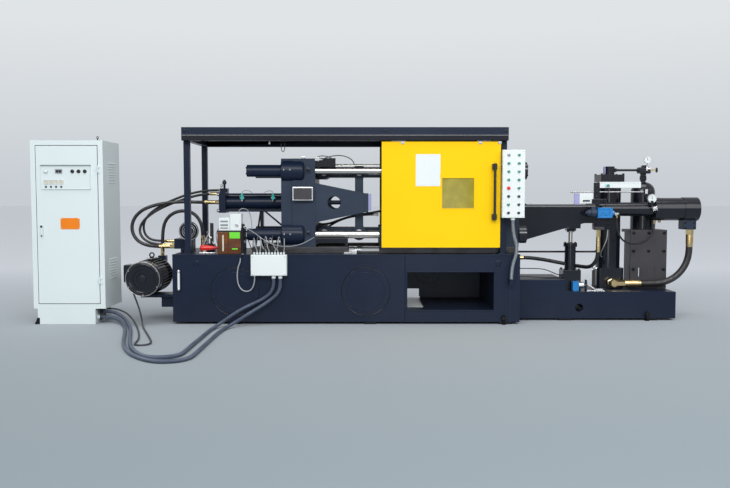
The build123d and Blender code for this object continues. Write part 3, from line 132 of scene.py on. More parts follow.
def hoseFinish(name, look):
    skin = Finish(name)
    wholeTurn = 6.2832
    along = skin.axis("X", skin.node("ShaderNodeUVMap", None))
    around = skin.axis("Y", skin.node("ShaderNodeUVMap", None))
    rings = skin.node("ShaderNodeMath", {"operation": "SINE"}, {0: along * look["rings"] * wholeTurn})
    twist = skin.node("ShaderNodeMath", {"operation": "SINE"},
                      {0: along * look["rings"] * 0.7 + around * look["turns"] * wholeTurn})
    height = rings * look["ringShare"] + twist * (1 - look["ringShare"])
    cloud = skin.noise(7, 4)
    return skin.wear(Base_Color=skin.blend(cloud, look["dark"], look["light"]),
                     Roughness=(cloud - 0.5) * 0.2 + look["rough"], Metallic=look["metal"],
                     Specular_IOR_Level=0.5, Normal=skin.bump(height, look["bump"], look["depth"]))


def clearFinish(name, look):
    pane = Finish(name)
    cloud = pane.noise(look["cloud"], 5)
    smear = (cloud - 0.45).atLeast(0) * 1.5
    return pane.wear(Base_Color=pane.blend(smear, look["dark"], look["light"]),
                     Roughness=look["rough"] + smear * 0.2, Alpha=(smear * 0.3 + look["alpha"]).atMost(1.0),
                     Coat_Weight=0.3, Normal=pane.bump(cloud, 0.05, 0.001))


# one row per look, in the order of the words above it
paintWords = ("slot", "dark", "light", "cloud", "grain", "dust", "dustColour", "grime", "dirt", "rough",
              "shine", "coat", "bump", "depth")
paintLooks = {
    "machinePaint": ("machine_paint", (0.0055, 0.0105, 0.026), (0.0098, 0.0185, 0.043), 1.7, 240, 0.06,
        (0.1, 0.11, 0.13), 0.35, (0.03, 0.028, 0.03), 0.32, 0.24, 0, 0.1, 0.002),
    "castPaint": ("platen_paint", (0.016, 0.026, 0.047), (0.028, 0.043, 0.073), 3.2, 75, 0.06,
        (0.11, 0.12, 0.14), 0.2, (0.02, 0.02, 0.025), 0.38, 0.26, 0, 0.35, 0.004),
    "shotPaint": ("machine_paint", (0.005, 0.0062, 0.0105), (0.01, 0.0118, 0.0195), 2.4, 130, 0.06,
        (0.1, 0.1, 0.11), 0.3, (0.045, 0.04, 0.042), 0.14, 0.52, 0, 0.06, 0.002),
    # near-black paint for the rings round the bed covers: painted shade of their seams; the shine on it is
    # real gloss
    "seamShadePaint": ("machine_paint", (0.0016, 0.0024, 0.0048), (0.003, 0.0044, 0.008), 2.4, 130, 0,
        (0.1, 0.1, 0.11), 0.1, (0.006, 0.008, 0.012), 0.16, 0.55, 0, 0.05, 0.002),
    "bracketPaint": ("machine_paint", (0.024, 0.022, 0.027), (0.048, 0.045, 0.052), 6, 60, 0.2,
        (0.16, 0.16, 0.17), 0.3, (0.06, 0.05, 0.05), 0.46, 0.45, 0.05, 0.3, 0.003),
    "yellowPaint": ("yellow_paint", (0.88, 0.53, 0.002), (0.95, 0.61, 0.004), 1.1, 260, 0.05,
        (0.6, 0.5, 0.2), 0.1, (0.4, 0.3, 0.05), 0.34, 0.12, 0, 0.06, 0.002),
    "cabinetPaint": ("cabinet_paint", (0.64, 0.725, 0.735), (0.7, 0.775, 0.785), 0.9, 330, 0.06,
        (0.5, 0.5, 0.48), 0.25, (0.4, 0.42, 0.42), 0.42, 0.4, 0, 0.16, 0.002),
    "panelPaint": ("panel_paint", (0.68, 0.735, 0.745), (0.74, 0.785, 0.79), 2, 300, 0.05, (0.6, 0.6, 0.6),
        0.05, (0.5, 0.5, 0.5), 0.36, 0.4, 0.1, 0.06, 0.001),
    "redPlastic": ("dial", (0.62, 0.01, 0.006), (0.78, 0.022, 0.012), 8, 300, 0.05, (0.5, 0.3, 0.3), 0,
        (0.3, 0.02, 0.02), 0.25, 0.5, 0.3, 0.04, 0.001),
    "valveBlue": ("valve_blue", (0.006, 0.13, 0.4), (0.012, 0.24, 0.6), 9, 160, 0.1, (0.2, 0.3, 0.45), 0,
        (0.02, 0.05, 0.1), 0.28, 0.5, 0.3, 0.12, 0.001),
    "orangePlate": ("dial", (0.78, 0.19, 0.005), (0.86, 0.24, 0.008), 5, 300, 0, (0.5, 0.3, 0.2), 0,
        (0.4, 0.2, 0.02), 0.35, 0.4, 0.1, 0.04, 0.001),
    "greenPlastic": ("dial", (0.01, 0.22, 0.12), (0.016, 0.32, 0.18), 12, 200, 0, (0.2, 0.3, 0.3), 0,
        (0.02, 0.1, 0.05), 0.25, 0.5, 0.3, 0.03, 0.001),
    "tealPlastic": ("dial", (0.02, 0.42, 0.36), (0.03, 0.52, 0.46), 12, 200, 0, (0.2, 0.3, 0.3), 0,
        (0.02, 0.1, 0.05), 0.3, 0.5, 0.2, 0.03, 0.001),
    "limeLabel": ("dial", (0.13, 0.62, 0.03), (0.17, 0.72, 0.05), 9, 200, 0, (0.2, 0.4, 0.2), 0,
        (0.1, 0.3, 0.05), 0.4, 0.4, 0.1, 0.03, 0.001),
    "blackPlastic": ("black_plastic", (0.01, 0.01, 0.011), (0.018, 0.018, 0.02), 6, 260, 0.12,
        (0.09, 0.09, 0.09), 0, (0.03, 0.03, 0.03), 0.38, 0.5, 0, 0.12, 0.001),
    "meterFace": ("dial", (0.56, 0.53, 0.44), (0.62, 0.59, 0.5), 15, 200, 0, (0.5, 0.5, 0.45), 0,
        (0.3, 0.3, 0.25), 0.3, 0.5, 0.2, 0.02, 0.001),
    "greyPlastic": ("grey_conduit", (0.2, 0.22, 0.23), (0.27, 0.29, 0.3), 10, 200, 0.05, (0.4, 0.4, 0.4), 0,
        (0.1, 0.1, 0.1), 0.35, 0.5, 0.1, 0.05, 0.001),
    "lilacPlate": ("panel_paint", (0.3, 0.3, 0.55), (0.38, 0.38, 0.66), 10, 200, 0.05, (0.4, 0.4, 0.4), 0,
        (0.1, 0.1, 0.1), 0.35, 0.5, 0.2, 0.05, 0.001),
}

metalWords = ("slot", "dark", "light", "streak", "stretch", "stain", "stainColour", "rough", "vary", "bump")
metalLooks = {
    "brightSteel": ("bright_steel", (0.62, 0.6, 0.55), (0.82, 0.8, 0.76), 30, (40, 1, 1), 0.4,
        (0.3, 0.27, 0.22), 0.22, 0.06, 0.02),
    "wornWay": ("machined_steel", (0.04, 0.042, 0.048), (0.11, 0.108, 0.11), 12, (1, 6, 6), 1.2,
        (0.075, 0.045, 0.03), 0.4, 0.2, 0.2),
    "machinedSteel": ("machined_steel", (0.36, 0.36, 0.37), (0.54, 0.54, 0.55), 25, (1, 6, 6), 1,
        (0.16, 0.14, 0.13), 0.34, 0.2, 0.2),
    "silverSteel": ("bright_steel", (0.66, 0.67, 0.68), (0.86, 0.87, 0.88), 80, (1, 1, 1), 0.3,
        (0.35, 0.34, 0.33), 0.26, 0.2, 0.1),
    "brass": ("brass", (0.7, 0.52, 0.24), (0.88, 0.72, 0.42), 30, (1, 1, 1), 0.35, (0.4, 0.27, 0.12), 0.24,
        0.12, 0.08),
    "blackOxide": ("machine_paint", (0.02, 0.02, 0.022), (0.045, 0.045, 0.048), 90, (1, 1, 1), 0.5,
        (0.05, 0.04, 0.035), 0.36, 0.15, 0.1),
    "plateAluminium": ("machined_steel", (0.58, 0.59, 0.6), (0.72, 0.73, 0.74), 45, (1, 1, 30), 0.3,
        (0.3, 0.3, 0.3), 0.36, 0.1, 0.1),
}

hoseWords = ("slot", "dark", "light", "rings", "turns", "ringShare", "rough", "metal", "bump", "depth")
hoseLooks = {
    "rubberHose": ("black_rubber", (0.01, 0.01, 0.012), (0.02, 0.02, 0.023), 150, 12, 0.15, 0.34, 0,
        0.15, 0.001),
    "largeHose": ("black_rubber", (0.012, 0.012, 0.013), (0.026, 0.026, 0.028), 90, 16, 0.2, 0.36, 0,
        0.2, 0.002),
    "panelConduit": ("grey_conduit", (0.2, 0.23, 0.27), (0.32, 0.35, 0.39), 90, 0, 1, 0.3, 0.5, 0.6, 0.003),
    "floorConduit": ("grey_conduit", (0.055, 0.074, 0.118), (0.135, 0.17, 0.24), 560, 0, 1, 0.36, 0.2, 0.6,
        0.003),
    "motorCable": ("black_rubber", (0.03, 0.034, 0.04), (0.06, 0.066, 0.075), 300, 6, 0.1, 0.42, 0,
        0.1, 0.001),
    "thinLead": ("grey_conduit", (0.22, 0.24, 0.26), (0.38, 0.4, 0.42), 80, 4, 0.3, 0.4, 0, 0.1, 0.0005),
    "darkLead": ("black_rubber", (0.012, 0.012, 0.014), (0.03, 0.03, 0.034), 80, 4, 0.3, 0.4, 0, 0.1,
        0.0005),
}

clearWords = ("slot", "dark", "light", "cloud", "rough", "alpha")
clearLooks = {
    "windowGlass": ("window_glass", (0.36, 0.3, 0.012), (0.52, 0.45, 0.04), 12, 0.12, 0.66),
    "amberTank": ("amber_tank", (0.11, 0.03, 0.003), (0.42, 0.135, 0.012), 5, 0.08, 0.8),
}

finishes, slotOf = {}, {}
for maker, words, looks in ((paintFinish, paintWords, paintLooks), (metalFinish, metalWords, metalLooks),
                            (hoseFinish, hoseWords, hoseLooks), (clearFinish, clearWords, clearLooks)):
    for finish, row in looks.items():
        finishes[finish] = maker(finish, dict(zip(words, row)))
        slotOf[finish] = row[0]
print("finishes mixed:", len(finishes))


# camera, floor, sky and lamps
view = {"place": (-0.09, -7.975, 1.235), "pitch": 3.55, "lens": 38.96, "sensor": 36, "far": 200}
bpy.ops.object.camera_add(location=view["place"], rotation=(math.radians(90 - view["pitch"]), 0, 0))
camera = bpy.context.active_object
camera.data.lens = view["lens"]
camera.data.sensor_width = view["sensor"]
camera.data.clip_end = view["far"]
bpy.context.scene.camera = camera
bpy.context.scene.view_settings.view_transform = "Standard"

studio = {"floorNear": (0.203, 0.240, 0.262), "floorFar": (0.605, 0.635, 0.685), "floorSize": 120,
          "floorMiddle": (0, 20, 0), "shadeStart": 4.7, "shadeDepth": 10, "shadeCurve": 1.3,
          "horizon": (0.565, 0.605, 0.645, 1), "top": (0.745, 0.775, 0.795, 1), "topHeight": 0.20,
          "light": 0.52, "lightColour": (0.97, 0.985, 1.0, 1)}
bpy.ops.mesh.primitive_plane_add(size=studio["floorSize"], location=studio["floorMiddle"])
floor = bpy.context.active_object
floor.name = "studioFloor"
bpy.ops.object.transform_apply(location=True)
floorCoat = Finish("studioFloorPaint")
# the floor's colour darkens towards the camera: painted shade, a colour ramp in place of the light falling
# off
distance = ((floorCoat.axis("Y") + studio["shadeStart"]) / studio["shadeDepth"]).atLeast(0).atMost(1)
floorCoat.wear(Base_Color=floorCoat.blend(distance ** studio["shadeCurve"], studio["floorNear"],
                                          studio["floorFar"]),
               Roughness=0.9, Specular_IOR_Level=0.1,
               Normal=floorCoat.bump(floorCoat.noise(60, 2), 0.02, 0.001))
floor.data.materials.append(floorCoat.material)

# the camera sees a pale gradient, and everything else is lit by an even sky
world = bpy.data.worlds.new("studioSky")
bpy.context.scene.world = world
world.use_nodes = True
sky = world.node_tree
sky.nodes.clear()
direction, split, ramp, seen, lit, path, either, choose = [
    sky.nodes.new("ShaderNode" + kind) for kind in
    ("TexCoord", "SeparateXYZ", "ValToRGB", "Background", "Background", "LightPath", "Math", "MixShader")]
horizonStop, topStop = ramp.color_ramp.elements
horizonStop.position, horizonStop.color = 0.0, studio["horizon"]
topStop.position, topStop.color = studio["topHeight"], studio["top"]
lit.inputs["Color"].default_value = studio["lightColour"]
lit.inputs["Strength"].default_value = studio["light"]
either.operation = "MAXIMUM"
for start, end in ((direction.outputs["Generated"], split.inputs[0]),
                   (split.outputs["Z"], ramp.inputs[0]), (ramp.outputs[0], seen.inputs["Color"]),
                   (path.outputs["Is Camera Ray"], either.inputs[0]),
                   (path.outputs["Is Transmission Ray"], either.inputs[1]),
                   (either.outputs[0], choose.inputs[0]), (lit.outputs[0], choose.inputs[1]),
                   (seen.outputs[0], choose.inputs[2]),
                   (choose.outputs[0], sky.nodes.new("ShaderNodeOutputWorld").inputs["Surface"])):
    sky.links.new(start, end)

# kind, place, target, power, and the size of an area lamp or the angle of the sun
lamps = {"keyLamp": ("AREA", (-0.5, -10.0, 6.3), (0, 0, 1.0), 850, 12.0),
         "fillLamp": ("AREA", (4.5, -5.5, 4.0), (0.8, 0, 0.8), 105, 4.0),
         "lowFill": ("AREA", (0.9, -6.5, 0.75), (0.7, 0.3, 0.30), 14, 1.5),
         "topSun": ("SUN", (0, -1, 8), (0, 0.4, 0), 1.2, 0.7)}
for name, (kind, place, target, power, size) in lamps.items():
    bpy.ops.object.light_add(type=kind, location=place)
    lamp = bpy.context.active_object
    lamp.name = name
    lamp.rotation_euler = (Vector(target) - Vector(place)).to_track_quat("-Z", "Y").to_euler()
    lamp.data.energy = power
    if kind == "AREA":
        lamp.data.size = size
    else:
        lamp.data.angle = size
    if name == "keyLamp":
        lamp.data.shape = "RECTANGLE"
        lamp.data.size_y = 3.0
print("studio ready")


# modelling helpers, each the way a hand would do it; every length given to them is in millimetres
mm = 0.001
up, down, front, back, right, left = (0, 0, 1), (0, 0, -1), (0, -1, 0), (0, 1, 0), (1, 0, 0), (-1, 0, 0)


def metres(spot):
    return Vector([v * mm for v in spot])


def onlyThis(piece):
    bpy.ops.object.select_all(action="DESELECT")
    piece.select_set(True)
    bpy.context.view_layer.objects.active = piece


def settle(piece):
    onlyThis(piece)
    bpy.ops.object.transform_apply(location=True, rotation=True, scale=True)


def applyAll(piece):
    onlyThis(piece)
    for modifier in list(piece.modifiers):
        bpy.ops.object.modifier_apply(modifier=modifier.name)


def soften(piece, width, steps=2, sharp=35):
    bevel = piece.modifiers.new("softEdges", "BEVEL")
    bevel.width = width * mm
    bevel.segments = steps
    bevel.limit_method = "ANGLE"
    bevel.angle_limit = math.radians(sharp)
    applyAll(piece)


def copyTo(piece, shift):
    twin = piece.copy()
    twin.data = piece.data.copy()
    bpy.context.collection.objects.link(twin)
    twin.data.transform(Matrix.Translation(shift))
    return twin


def joined(pieces):
    bpy.ops.object.select_all(action="DESELECT")
    for piece in pieces:
        piece.select_set(True)
    bpy.context.view_layer.objects.active = pieces[0]
    if len(pieces) > 1:
        bpy.ops.object.join()
    return pieces[0]


def placesOf(spot):
    # a list of places as it is, or every combination where a coordinate is given more than once
    if isinstance(spot, list):
        return [metres(place) for place in spot]
    choices = [value if isinstance(value, tuple) else (value,) for value in spot]
    return [metres(place) for place in itertools.product(*choices)]


def around(centre, radius, count, first, axes=(0, 2)):
    # places on a circle, from the first angle on
    spots = []
    for turn in range(count):
        angle = math.radians(first + 360 / count * turn)
        spot = list(centre)
        spot[axes[0]] += radius * math.cos(angle)
        spot[axes[1]] += radius * math.sin(angle)
        spots.append(spot)
    return spots


def repeated(piece, places):
    return joined([piece] + [copyTo(piece, place - places[0]) for place in places[1:]])


def slab(low, high, edge=2, steps=2):
    bpy.ops.object.select_all(action="DESELECT")
    bpy.ops.mesh.primitive_cube_add(size=1, location=(metres(low) + metres(high)) / 2)
    piece = bpy.context.active_object
    piece.scale = metres(high) - metres(low)
    settle(piece)
    if edge:
        soften(piece, edge, steps)
    return piece


def turned(spot, way, outline, sides=32):
    # a round piece pulled up ring by ring: the outline is distance:radius from its start
    if isinstance(outline, str):
        outline = [[float(value) for value in ring.split(":")] for ring in outline.split()]
    thinnest, step = 0.4 * mm, 0.01 * mm
    rings = [(height * mm, radius * mm) for height, radius in outline]
    places = placesOf(spot)
    bpy.ops.object.select_all(action="DESELECT")
    bpy.ops.mesh.primitive_circle_add(vertices=sides, radius=max(rings[0][1], thinnest), fill_type="NGON")
    piece = bpy.context.active_object
    bpy.ops.object.mode_set(mode="EDIT")
    bpy.ops.mesh.select_all(action="SELECT")
    height, radius = rings[0]
    for nextHeight, nextRadius in rings[1:]:
        nextRadius = max(nextRadius, thinnest)
        if nextHeight == height:
            nextHeight = height + step
        bpy.ops.mesh.extrude_region_move(TRANSFORM_OT_translate={"value": (0, 0, nextHeight - height)})
        share = nextRadius / max(radius, thinnest)
        bpy.ops.transform.resize(value=(share, share, 1), center_override=(0, 0, nextHeight))
        height, radius = nextHeight, nextRadius
    bpy.ops.mesh.select_all(action="SELECT")
    bpy.ops.mesh.normals_make_consistent(inside=False)
    bpy.ops.object.mode_set(mode="OBJECT")
    piece.rotation_euler = Vector(way).to_track_quat("Z", "Y").to_euler()
    piece.location = places[0]
    settle(piece)
    return repeated(piece, places)


def rod(start, end, radius, edge=1, sides=24):
    way = Vector(end) - Vector(start)
    length = way.length
    return turned(start, way, [(0, radius - edge), (edge, radius), (length - edge, radius),
                               (length, radius - edge)], sides)


def hexHead(spot, way, radius, height):
    # a hexagon head on its washer
    washer = height * 0.18
    seats = [place / mm + Vector(way) * washer for place in placesOf(spot)]
    return joined([turned(seats, way, [(0, radius), (height * 0.75, radius), (height * 0.9, radius * 0.86),
                                       (height, radius * 0.6)], 6),
                   turned(spot, way, [(0, radius * 1.25), (washer, radius * 1.25)], 20)])


def pickFaces(piece, test):
    onlyThis(piece)
    for part in (piece.data.vertices, piece.data.edges, piece.data.polygons):
        for bit in part:
            bit.select = False
    for face in piece.data.polygons:
        face.select = bool(test(face))
    bpy.ops.object.mode_set(mode="EDIT")
    bpy.ops.mesh.select_mode(type="FACE")


def facing(way, least=0.9):
    return lambda face: face.normal.dot(Vector(way)) > least


def insetFaces(piece, test, thickness, depth):
    pickFaces(piece, test)
    bpy.ops.mesh.inset(thickness=thickness * mm, depth=depth * mm)
    bpy.ops.object.mode_set(mode="OBJECT")
    return piece


everywhere = 10000


def sunk(piece, thickness, depth, way=front, across=4, along=everywhere):
    # a recess or a raised field in the middle of the side that faces the given way
    spots = [vertex.co for vertex in piece.data.vertices]
    x, y, z = [(min(axis) + max(axis)) / 2 for axis in zip(*spots)]
    return insetFaces(piece, lambda face: facing(way)(face) and abs(face.center.x - x) < across * mm
                      and abs(face.center.z - z) < along * mm, thickness, depth)


def pinched(piece, test, share, pivot, shift=(0, 0, 0)):
    pickFaces(piece, test)
    bpy.ops.transform.resize(value=share, center_override=metres(pivot))
    bpy.ops.transform.translate(value=metres(shift))
    bpy.ops.object.mode_set(mode="OBJECT")
    return piece


def hoop(spot, radius, thick, sides=56):
    # a ring with a flat seat behind and a shallow groove rolled into its front
    places = placesOf(spot)
    x, y, z = places[0] / mm
    bpy.ops.object.select_all(action="DESELECT")
    bpy.ops.mesh.primitive_torus_add(location=places[0], rotation=(math.pi / 2, 0, 0),
                                     major_radius=radius * mm, minor_radius=thick * mm,
                                     major_segments=sides, minor_segments=12)
    piece = bpy.context.active_object
    settle(piece)
    pinched(piece, facing(back, 0.86), (1, 0, 1), (x, y + thick * 0.84, z))
    insetFaces(piece, facing(front, 0.86), thick * 0.12, -thick * 0.1)
    return repeated(piece, places)


def dress(piece, finish, body="machine", node=None):
    piece.data.materials.clear()
    piece.data.materials.append(finishes[finish])
    onlyThis(piece)
    bpy.ops.object.shade_smooth_by_angle(angle=math.radians(35))
    weighted = piece.modifiers.new("flatFaces", "WEIGHTED_NORMAL")
    weighted.keep_sharp = True
    applyAll(piece)
    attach(piece, body)
    if node:
        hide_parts(node)
    return piece


def made(name, finish, *parts, body="machine", node=None):
    piece = joined(parts)
    piece.name = name
    return dress(piece, finish, body, node)


def roundedNode(node, finish, width, body="machine", steps=2):
    # the machined or cast solid again, with its edges broken
    onlyThis(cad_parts[node])
    bpy.ops.object.duplicate()
    piece = bpy.context.active_object
    piece.name = node + "Soft"
    bpy.ops.object.mode_set(mode="EDIT")
    bpy.ops.mesh.select_all(action="SELECT")
    bpy.ops.mesh.remove_doubles(threshold=0.00002)
    bpy.ops.mesh.dissolve_limited(angle_limit=math.radians(0.8))
    bpy.ops.object.mode_set(mode="OBJECT")
    soften(piece, width, steps, 38)
    return dress(piece, finish, body, node)


# routes in millimetres, one place per comma
def layCord(name, route, thick, finish, fine=(3, 8)):
    points = [tuple(float(value) * mm for value in place.split()) for place in route.split(",")]
    line = bpy.data.curves.new(name, "CURVE")
    line.dimensions = "3D"
    line.bevel_depth = thick * mm / 2
    line.bevel_resolution, line.resolution_u = fine
    line.use_fill_caps = True
    spline = line.splines.new("NURBS")
    spline.points.add(len(points) - 1)
    for knot, place in zip(spline.points, points):
        knot.co = (*place, 1)
    spline.order_u = 3
    spline.use_endpoint_u = True
    piece = bpy.data.objects.new(name, line)
    bpy.context.collection.objects.link(piece)
    line.materials.append(finishes[finish])
    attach(piece, "machine")
    return piece


# cords first, each on the route that its solid was made from:
# diameter, length, finish, stiffness, lay, route
cordRoutes = {
    "hoseClampOuter": (34, 1272, "rubberHose", "medium", "hanging",
        "-1675 -20 1162, -1774.1 -20 1162, -1923 -25 1169, -2135 -37 1151, -2295 -49 1103, -2383 -58 1034, "
        "-2423 -65 952, -2423 -70 872, -2388 -76 800, -2326 -81 750, -2219.1 -90 722, -2120 -90 722"),
    "hoseClampInner": (24, 1245, "rubberHose", "medium", "hanging",
        "-1555 30 1282, -1625 30 1282, -1729 32 1276, -1884 37 1244, -2091 43 1163, -2240 48 1079, -2319 "
        "52 997, -2344 55 923, -2336 57 855, -2308 58 809, -2258 59 778, -2174.1 60 768, -2105 60 768"),
    "hoseTankArch": (34, 853, "rubberHose", "stiff", "hanging",
        "-2137 0 720, -2137 0 820, -2121 3 943, -2075 5 1019, -1996 9 1068, -1901 12 1078, -1824 15 1052, "
        "-1768 17 994, -1734 20 900, -1734 20 800"),
    "hoseShotLarge": (66, 761, "largeHose", "stiff", "hanging",
        "3183 -15 739, 3183 -15 645, 3155 -15 540, 3095 -15 448, 3010 -15 381, 2906 -15 346, 2788 -15 342, "
        "2671 -15 342"),
    "hoseFrameReturn": (38, 1013, "rubberHose", "medium", "hanging",
        "2205 -210 700, 2205 -210 655, 2196 -194 592, 2175 -156 542, 2146 -103 515, 2107 -33 513, 2056 64 "
        "516, 1985 138 526, 1880 166 545, 1765 160 568, 1650 143 585, 1570.1 131 592, 1511 131 592"),
    "hoseCylinderDrain": (18, 806, "rubberHose", "medium", "hanging",
        "2380 -222 1030, 2380 -222 975, 2391 -219 892, 2426 -206 812, 2486 -186 766, 2594 -147 746, 2690 "
        "-103 762, 2757 -66 797, 2801 -33 842, 2827 -9 887, 2832 0 925, 2832 0 958"),
    "conduitPanel": (34, 569, "panelConduit", "stiff", "hanging",
        "1301 -540 1000, 1301 -540 888.9, 1353 -540 719, 1294 -540 551, 1294 -540 440"),
    "conduitFloorA": (32, 4380, "floorConduit", "medium", "loose",
        "-956 -519 446, -956 -519 398, -964 -519.6 352, -986 -522.4 310, -1024 -526.1 274, -1090 -531.8 "
        "234, -1249 -548 163, -1365 -583.3 91, -1428 -641.9 47, -1467 -727.4 24, -1488 -874 17, -1491 "
        "-1100 17, -1493 -1387 17, -1497 -1649 17, -1496 -1824 17, -1496 -1940 17, -1511 -2015 17, -1554 "
        "-2070 17, -1617 -2101 17, -1686 -2101 17, -1749 -2071 17, -1809 -2003 17, -1880 -1887 17, -1970 "
        "-1698 17, -2060 -1430 17, -2136 -1153 17, -2213 -876 17, -2305 -623 21, -2388 -461 47, -2470 -380 "
        "81, -2547.6 -343 106, -2640 -343 106"),
    "conduitFloorB": (32, 4597, "floorConduit", "medium", "loose",
        "-893 -519 446, -893 -519 398, -899 -520.6 350, -918 -523.4 306, -951 -527.2 270, -1046 -540.6 "
        "201, -1189 -576.9 117, -1285 -636.4 58, -1344 -722.9 28, -1379 -861.3 18, -1390 -1080 17, -1393 "
        "-1370 17, -1395 -1659 17, -1396 -1881 17, -1398 -2026 17, -1407 -2120 17, -1438 -2185 17, -1493 "
        "-2231 17, -1562 -2250 17, -1632 -2239 17, -1706 -2193 17, -1801 -2099 17, -1916 -1931 17, -2033 "
        "-1673 17, -2122 -1396 17, -2196 -1114 17, -2275 -835 17, -2353 -623 21, -2422 -494 36, -2488 -426 "
        "50, -2554.9 -396 60, -2640 -396 60"),
    "cableMotor": (16, 3202, "motorCable", "limp", "loose",
        "-2370 -300 375, -2370 -300 325.3, -2334 -333 256, -2275 -393 151, -2221 -488 51, -2183 -605 14, "
        "-2116 -795 9, -2035 -1003 9, -1957 -1210 9, -1901 -1360 9, -1872 -1453 9, -1867 -1511 9, -1877 "
        "-1547 9, -1903 -1571 9, -1937 -1577 9, -1969 -1564 9, -1989 -1535 9, -1996 -1491 9, -2003 -1416 "
        "9, -2023 -1295 9, -2073 -1103 9, -2140 -891 9, -2213 -680 11, -2300 -476 36, -2408 -345 91, -2510 "
        "-297 121, -2590 -288 127, -2640 -288 127"),
    "conduitJunctionLoop": (12, 546, "thinLead", "medium", "hanging",
        "-1137 -519 461, -1137 -519 426, -1147 -515.4 378, -1165 -512.1 343, -1190 -509.9 324, -1218 "
        "-508.7 319, -1248 -507.4 327, -1275 -507.2 350, -1299 -505.8 398, -1305 -505.2 478, -1294 -504.6 "
        "556, -1272 -504 605.8, -1272 -504 640"),
    "hoseEjector": (24, 848, "rubberHose", "stiff", "hanging",
        "-549 285 930, -476.6 285 930, -373 285 969, -258 285 1007, -139 285 1032, -19 285 1049, 100 285 "
        "1074, 208 285 1090, 280 285 1090"),
}
for name, (thick, length, finish, stiffness, lay, route) in cordRoutes.items():
    cord = layCord(name, route, thick, finish, (5, 10))
    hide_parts("".join("_" + letter.lower() if letter.isupper() else letter for letter in name))

# thin leads and pipes that only the scene has: diameter, finish, stiffness, route
leadRoutes = {
    "hoseClampMiddle": (26, "rubberHose", "medium",
        "-1548 -5 1247, -1655 -5 1246, -1760 0 1236, -1884 10 1204, -2050 12 1148, -2215 10 1070, -2322 0 "
        "985, -2366 -10 900, -2350 -22 825, -2290 -35 770, -2205 -44 743, -2105 -45 738, -1992 -45 738"),
    "lubricatorPipe": (8, "thinLead", "medium",
        "-1300 -400 1057, -1300 -400 1085, -1270 -390 1108, -1228 -370 1100, -1200 -350 1060, -1190 -335 "
        "1000, -1186 -330 940, -1185 -330 905, -1184 -330 858"),
    "rearLead": (7, "thinLead", "medium",
        "-1245 -444 915, -1215 -448 915, -1150 -452 880, -1080 -456 825, -1000 -458 775, -910 -456 748, "
        "-820 -448 744, -740 -430 752, -670 -405 778, -620 -385 805, -590 -370 822, -580 -354 826"),
    "deckLead": (8, "thinLead", "medium",
        "-1530 -230 671, -1530 -230 720, -1545 -245 790, -1550 -250 860, -1520 -250 915, -1470 -240 920, "
        "-1440 -240 880, -1430 -250 800, -1430 -260 740, -1430 -265 675"),
    "switchLeadLeft": (6, "thinLead", "medium",
        "-1313 -107 1249, -1313 -107 1262, -1296 -106 1278, -1262 -100 1281, -1232 -94 1272, -1215 -90 "
        "1256, -1210 -86 1247"),
    "switchLeadRight": (6, "thinLead", "medium",
        "-1003.5 -107 1249, -1003.5 -107 1262, -1020 -106 1276, -1050 -100 1276, -1078 -94 1268, -1092 -90 "
        "1256, -1096 -86 1247"),
    "gaugeLeadUpper": (9, "darkLead", "medium",
        "-500 -350 1575, -470 -350 1592, -420 -348 1606, -350 -342 1616, -290 -336 1610, -235 -330 1588, "
        "-205 -325 1560, -196 -322 1540, -196 -316 1522"),
    "gaugeLeadLower": (8, "darkLead", "medium",
        "-560 -330 1589, -545 -335 1604, -500 -340 1612, -460 -338 1606, -430 -334 1598, -415 -330 1590, "
        "-412 -326 1580"),
    "railLoop": (7, "darkLead", "medium",
        "-882 -450 1746, -883 -450 1722, -884 -450 1680, -880 -450 1655, -867 -450 1640, -854 -450 1655, "
        "-850 -450 1680, -851 -450 1722, -852 -450 1746"),
    "ejectorReturn": (20, "rubberHose", "stiff",
        "-571 285 868, -540 285 868, -470 285 905, -380 285 960, -270 285 1000, -150 285 1022, -40 285 "
        "1030, 20 285 1030, 50 285 1030"),
    "sensorLead": (5, "darkLead", "medium",
        "2304 -184 1332, 2304 -210 1332, 2300 -232 1300, 2290 -228 1240, 2278 -222 1180, 2272 -218 1120, "
        "2270 -216 1080, 2270 -215 1063"),
    "jackPipe": (10, "darkLead", "stiff",
        "1388 60 487, 1460 60 487, 1600 60 487, 1720 56 484, 1790 45 462, 1850 30 434, 1880 20 424, 1900 "
        "20 422"),
    "baseLead": (12, "darkLead", "medium",
        "1388 -100 420, 1450 -100 420, 1540 -100 419, 1640 -98 414, 1720 -90 408.5, 1800 -80 408.5, 1870 "
        "-66 408.5, 1900 -60 408.5"),
    "valveLead": (10, "thinLead", "medium",
        "2292 -222 898, 2292 -222 850, 2286 -214 790, 2268 -180 720, 2262 -110 660, 2290 -20 620, 2325 70 "
        "605, 2342 108 602"),
}
bundle = {"x": (-1139, -1111, -1083, -1054, -1026, -998, -970, -942, -914, -885, -857),
          "rise": (100, 120, 160, 150, 200, 190, 240, 170, 130, 150, 110), "thick": 9,
          # how far the lean has gone, depth, height and how much of the rise is added, along a lead
          "steps": ((0, -519, 694, 0), (0, -517.5, 705, 0), (0.5, -497, 718.5, 0), (1, -474, 720.5, 0),
                    (1.6, -452, 722, 0), (2.4, -436, 748, 0), (3.4, -421, 778, 0.25),
                    (4.4, -398, 796, 0.25), (5.2, -366, 782, 0.1), (5.8, -330, 752, 0),
                    (6.2, -308, 737, 0))}
for spot, (x, rise) in enumerate(zip(bundle["x"], bundle["rise"])):
    lean = -20 + 9 * (spot % 4)
    route = ",".join(f"{x + lean * share} {y} {z + rise * part}" for share, y, z, part in bundle["steps"])
    layCord(f"junctionLead{spot + 1}", route, bundle["thick"], "thinLead" if spot % 3 else "darkLead")
for name, (thick, finish, stiffness, route) in leadRoutes.items():
    layCord(name, route, thick, finish)
print("cords laid:", len(cordRoutes) + len(bundle["x"]) + len(leadRoutes))


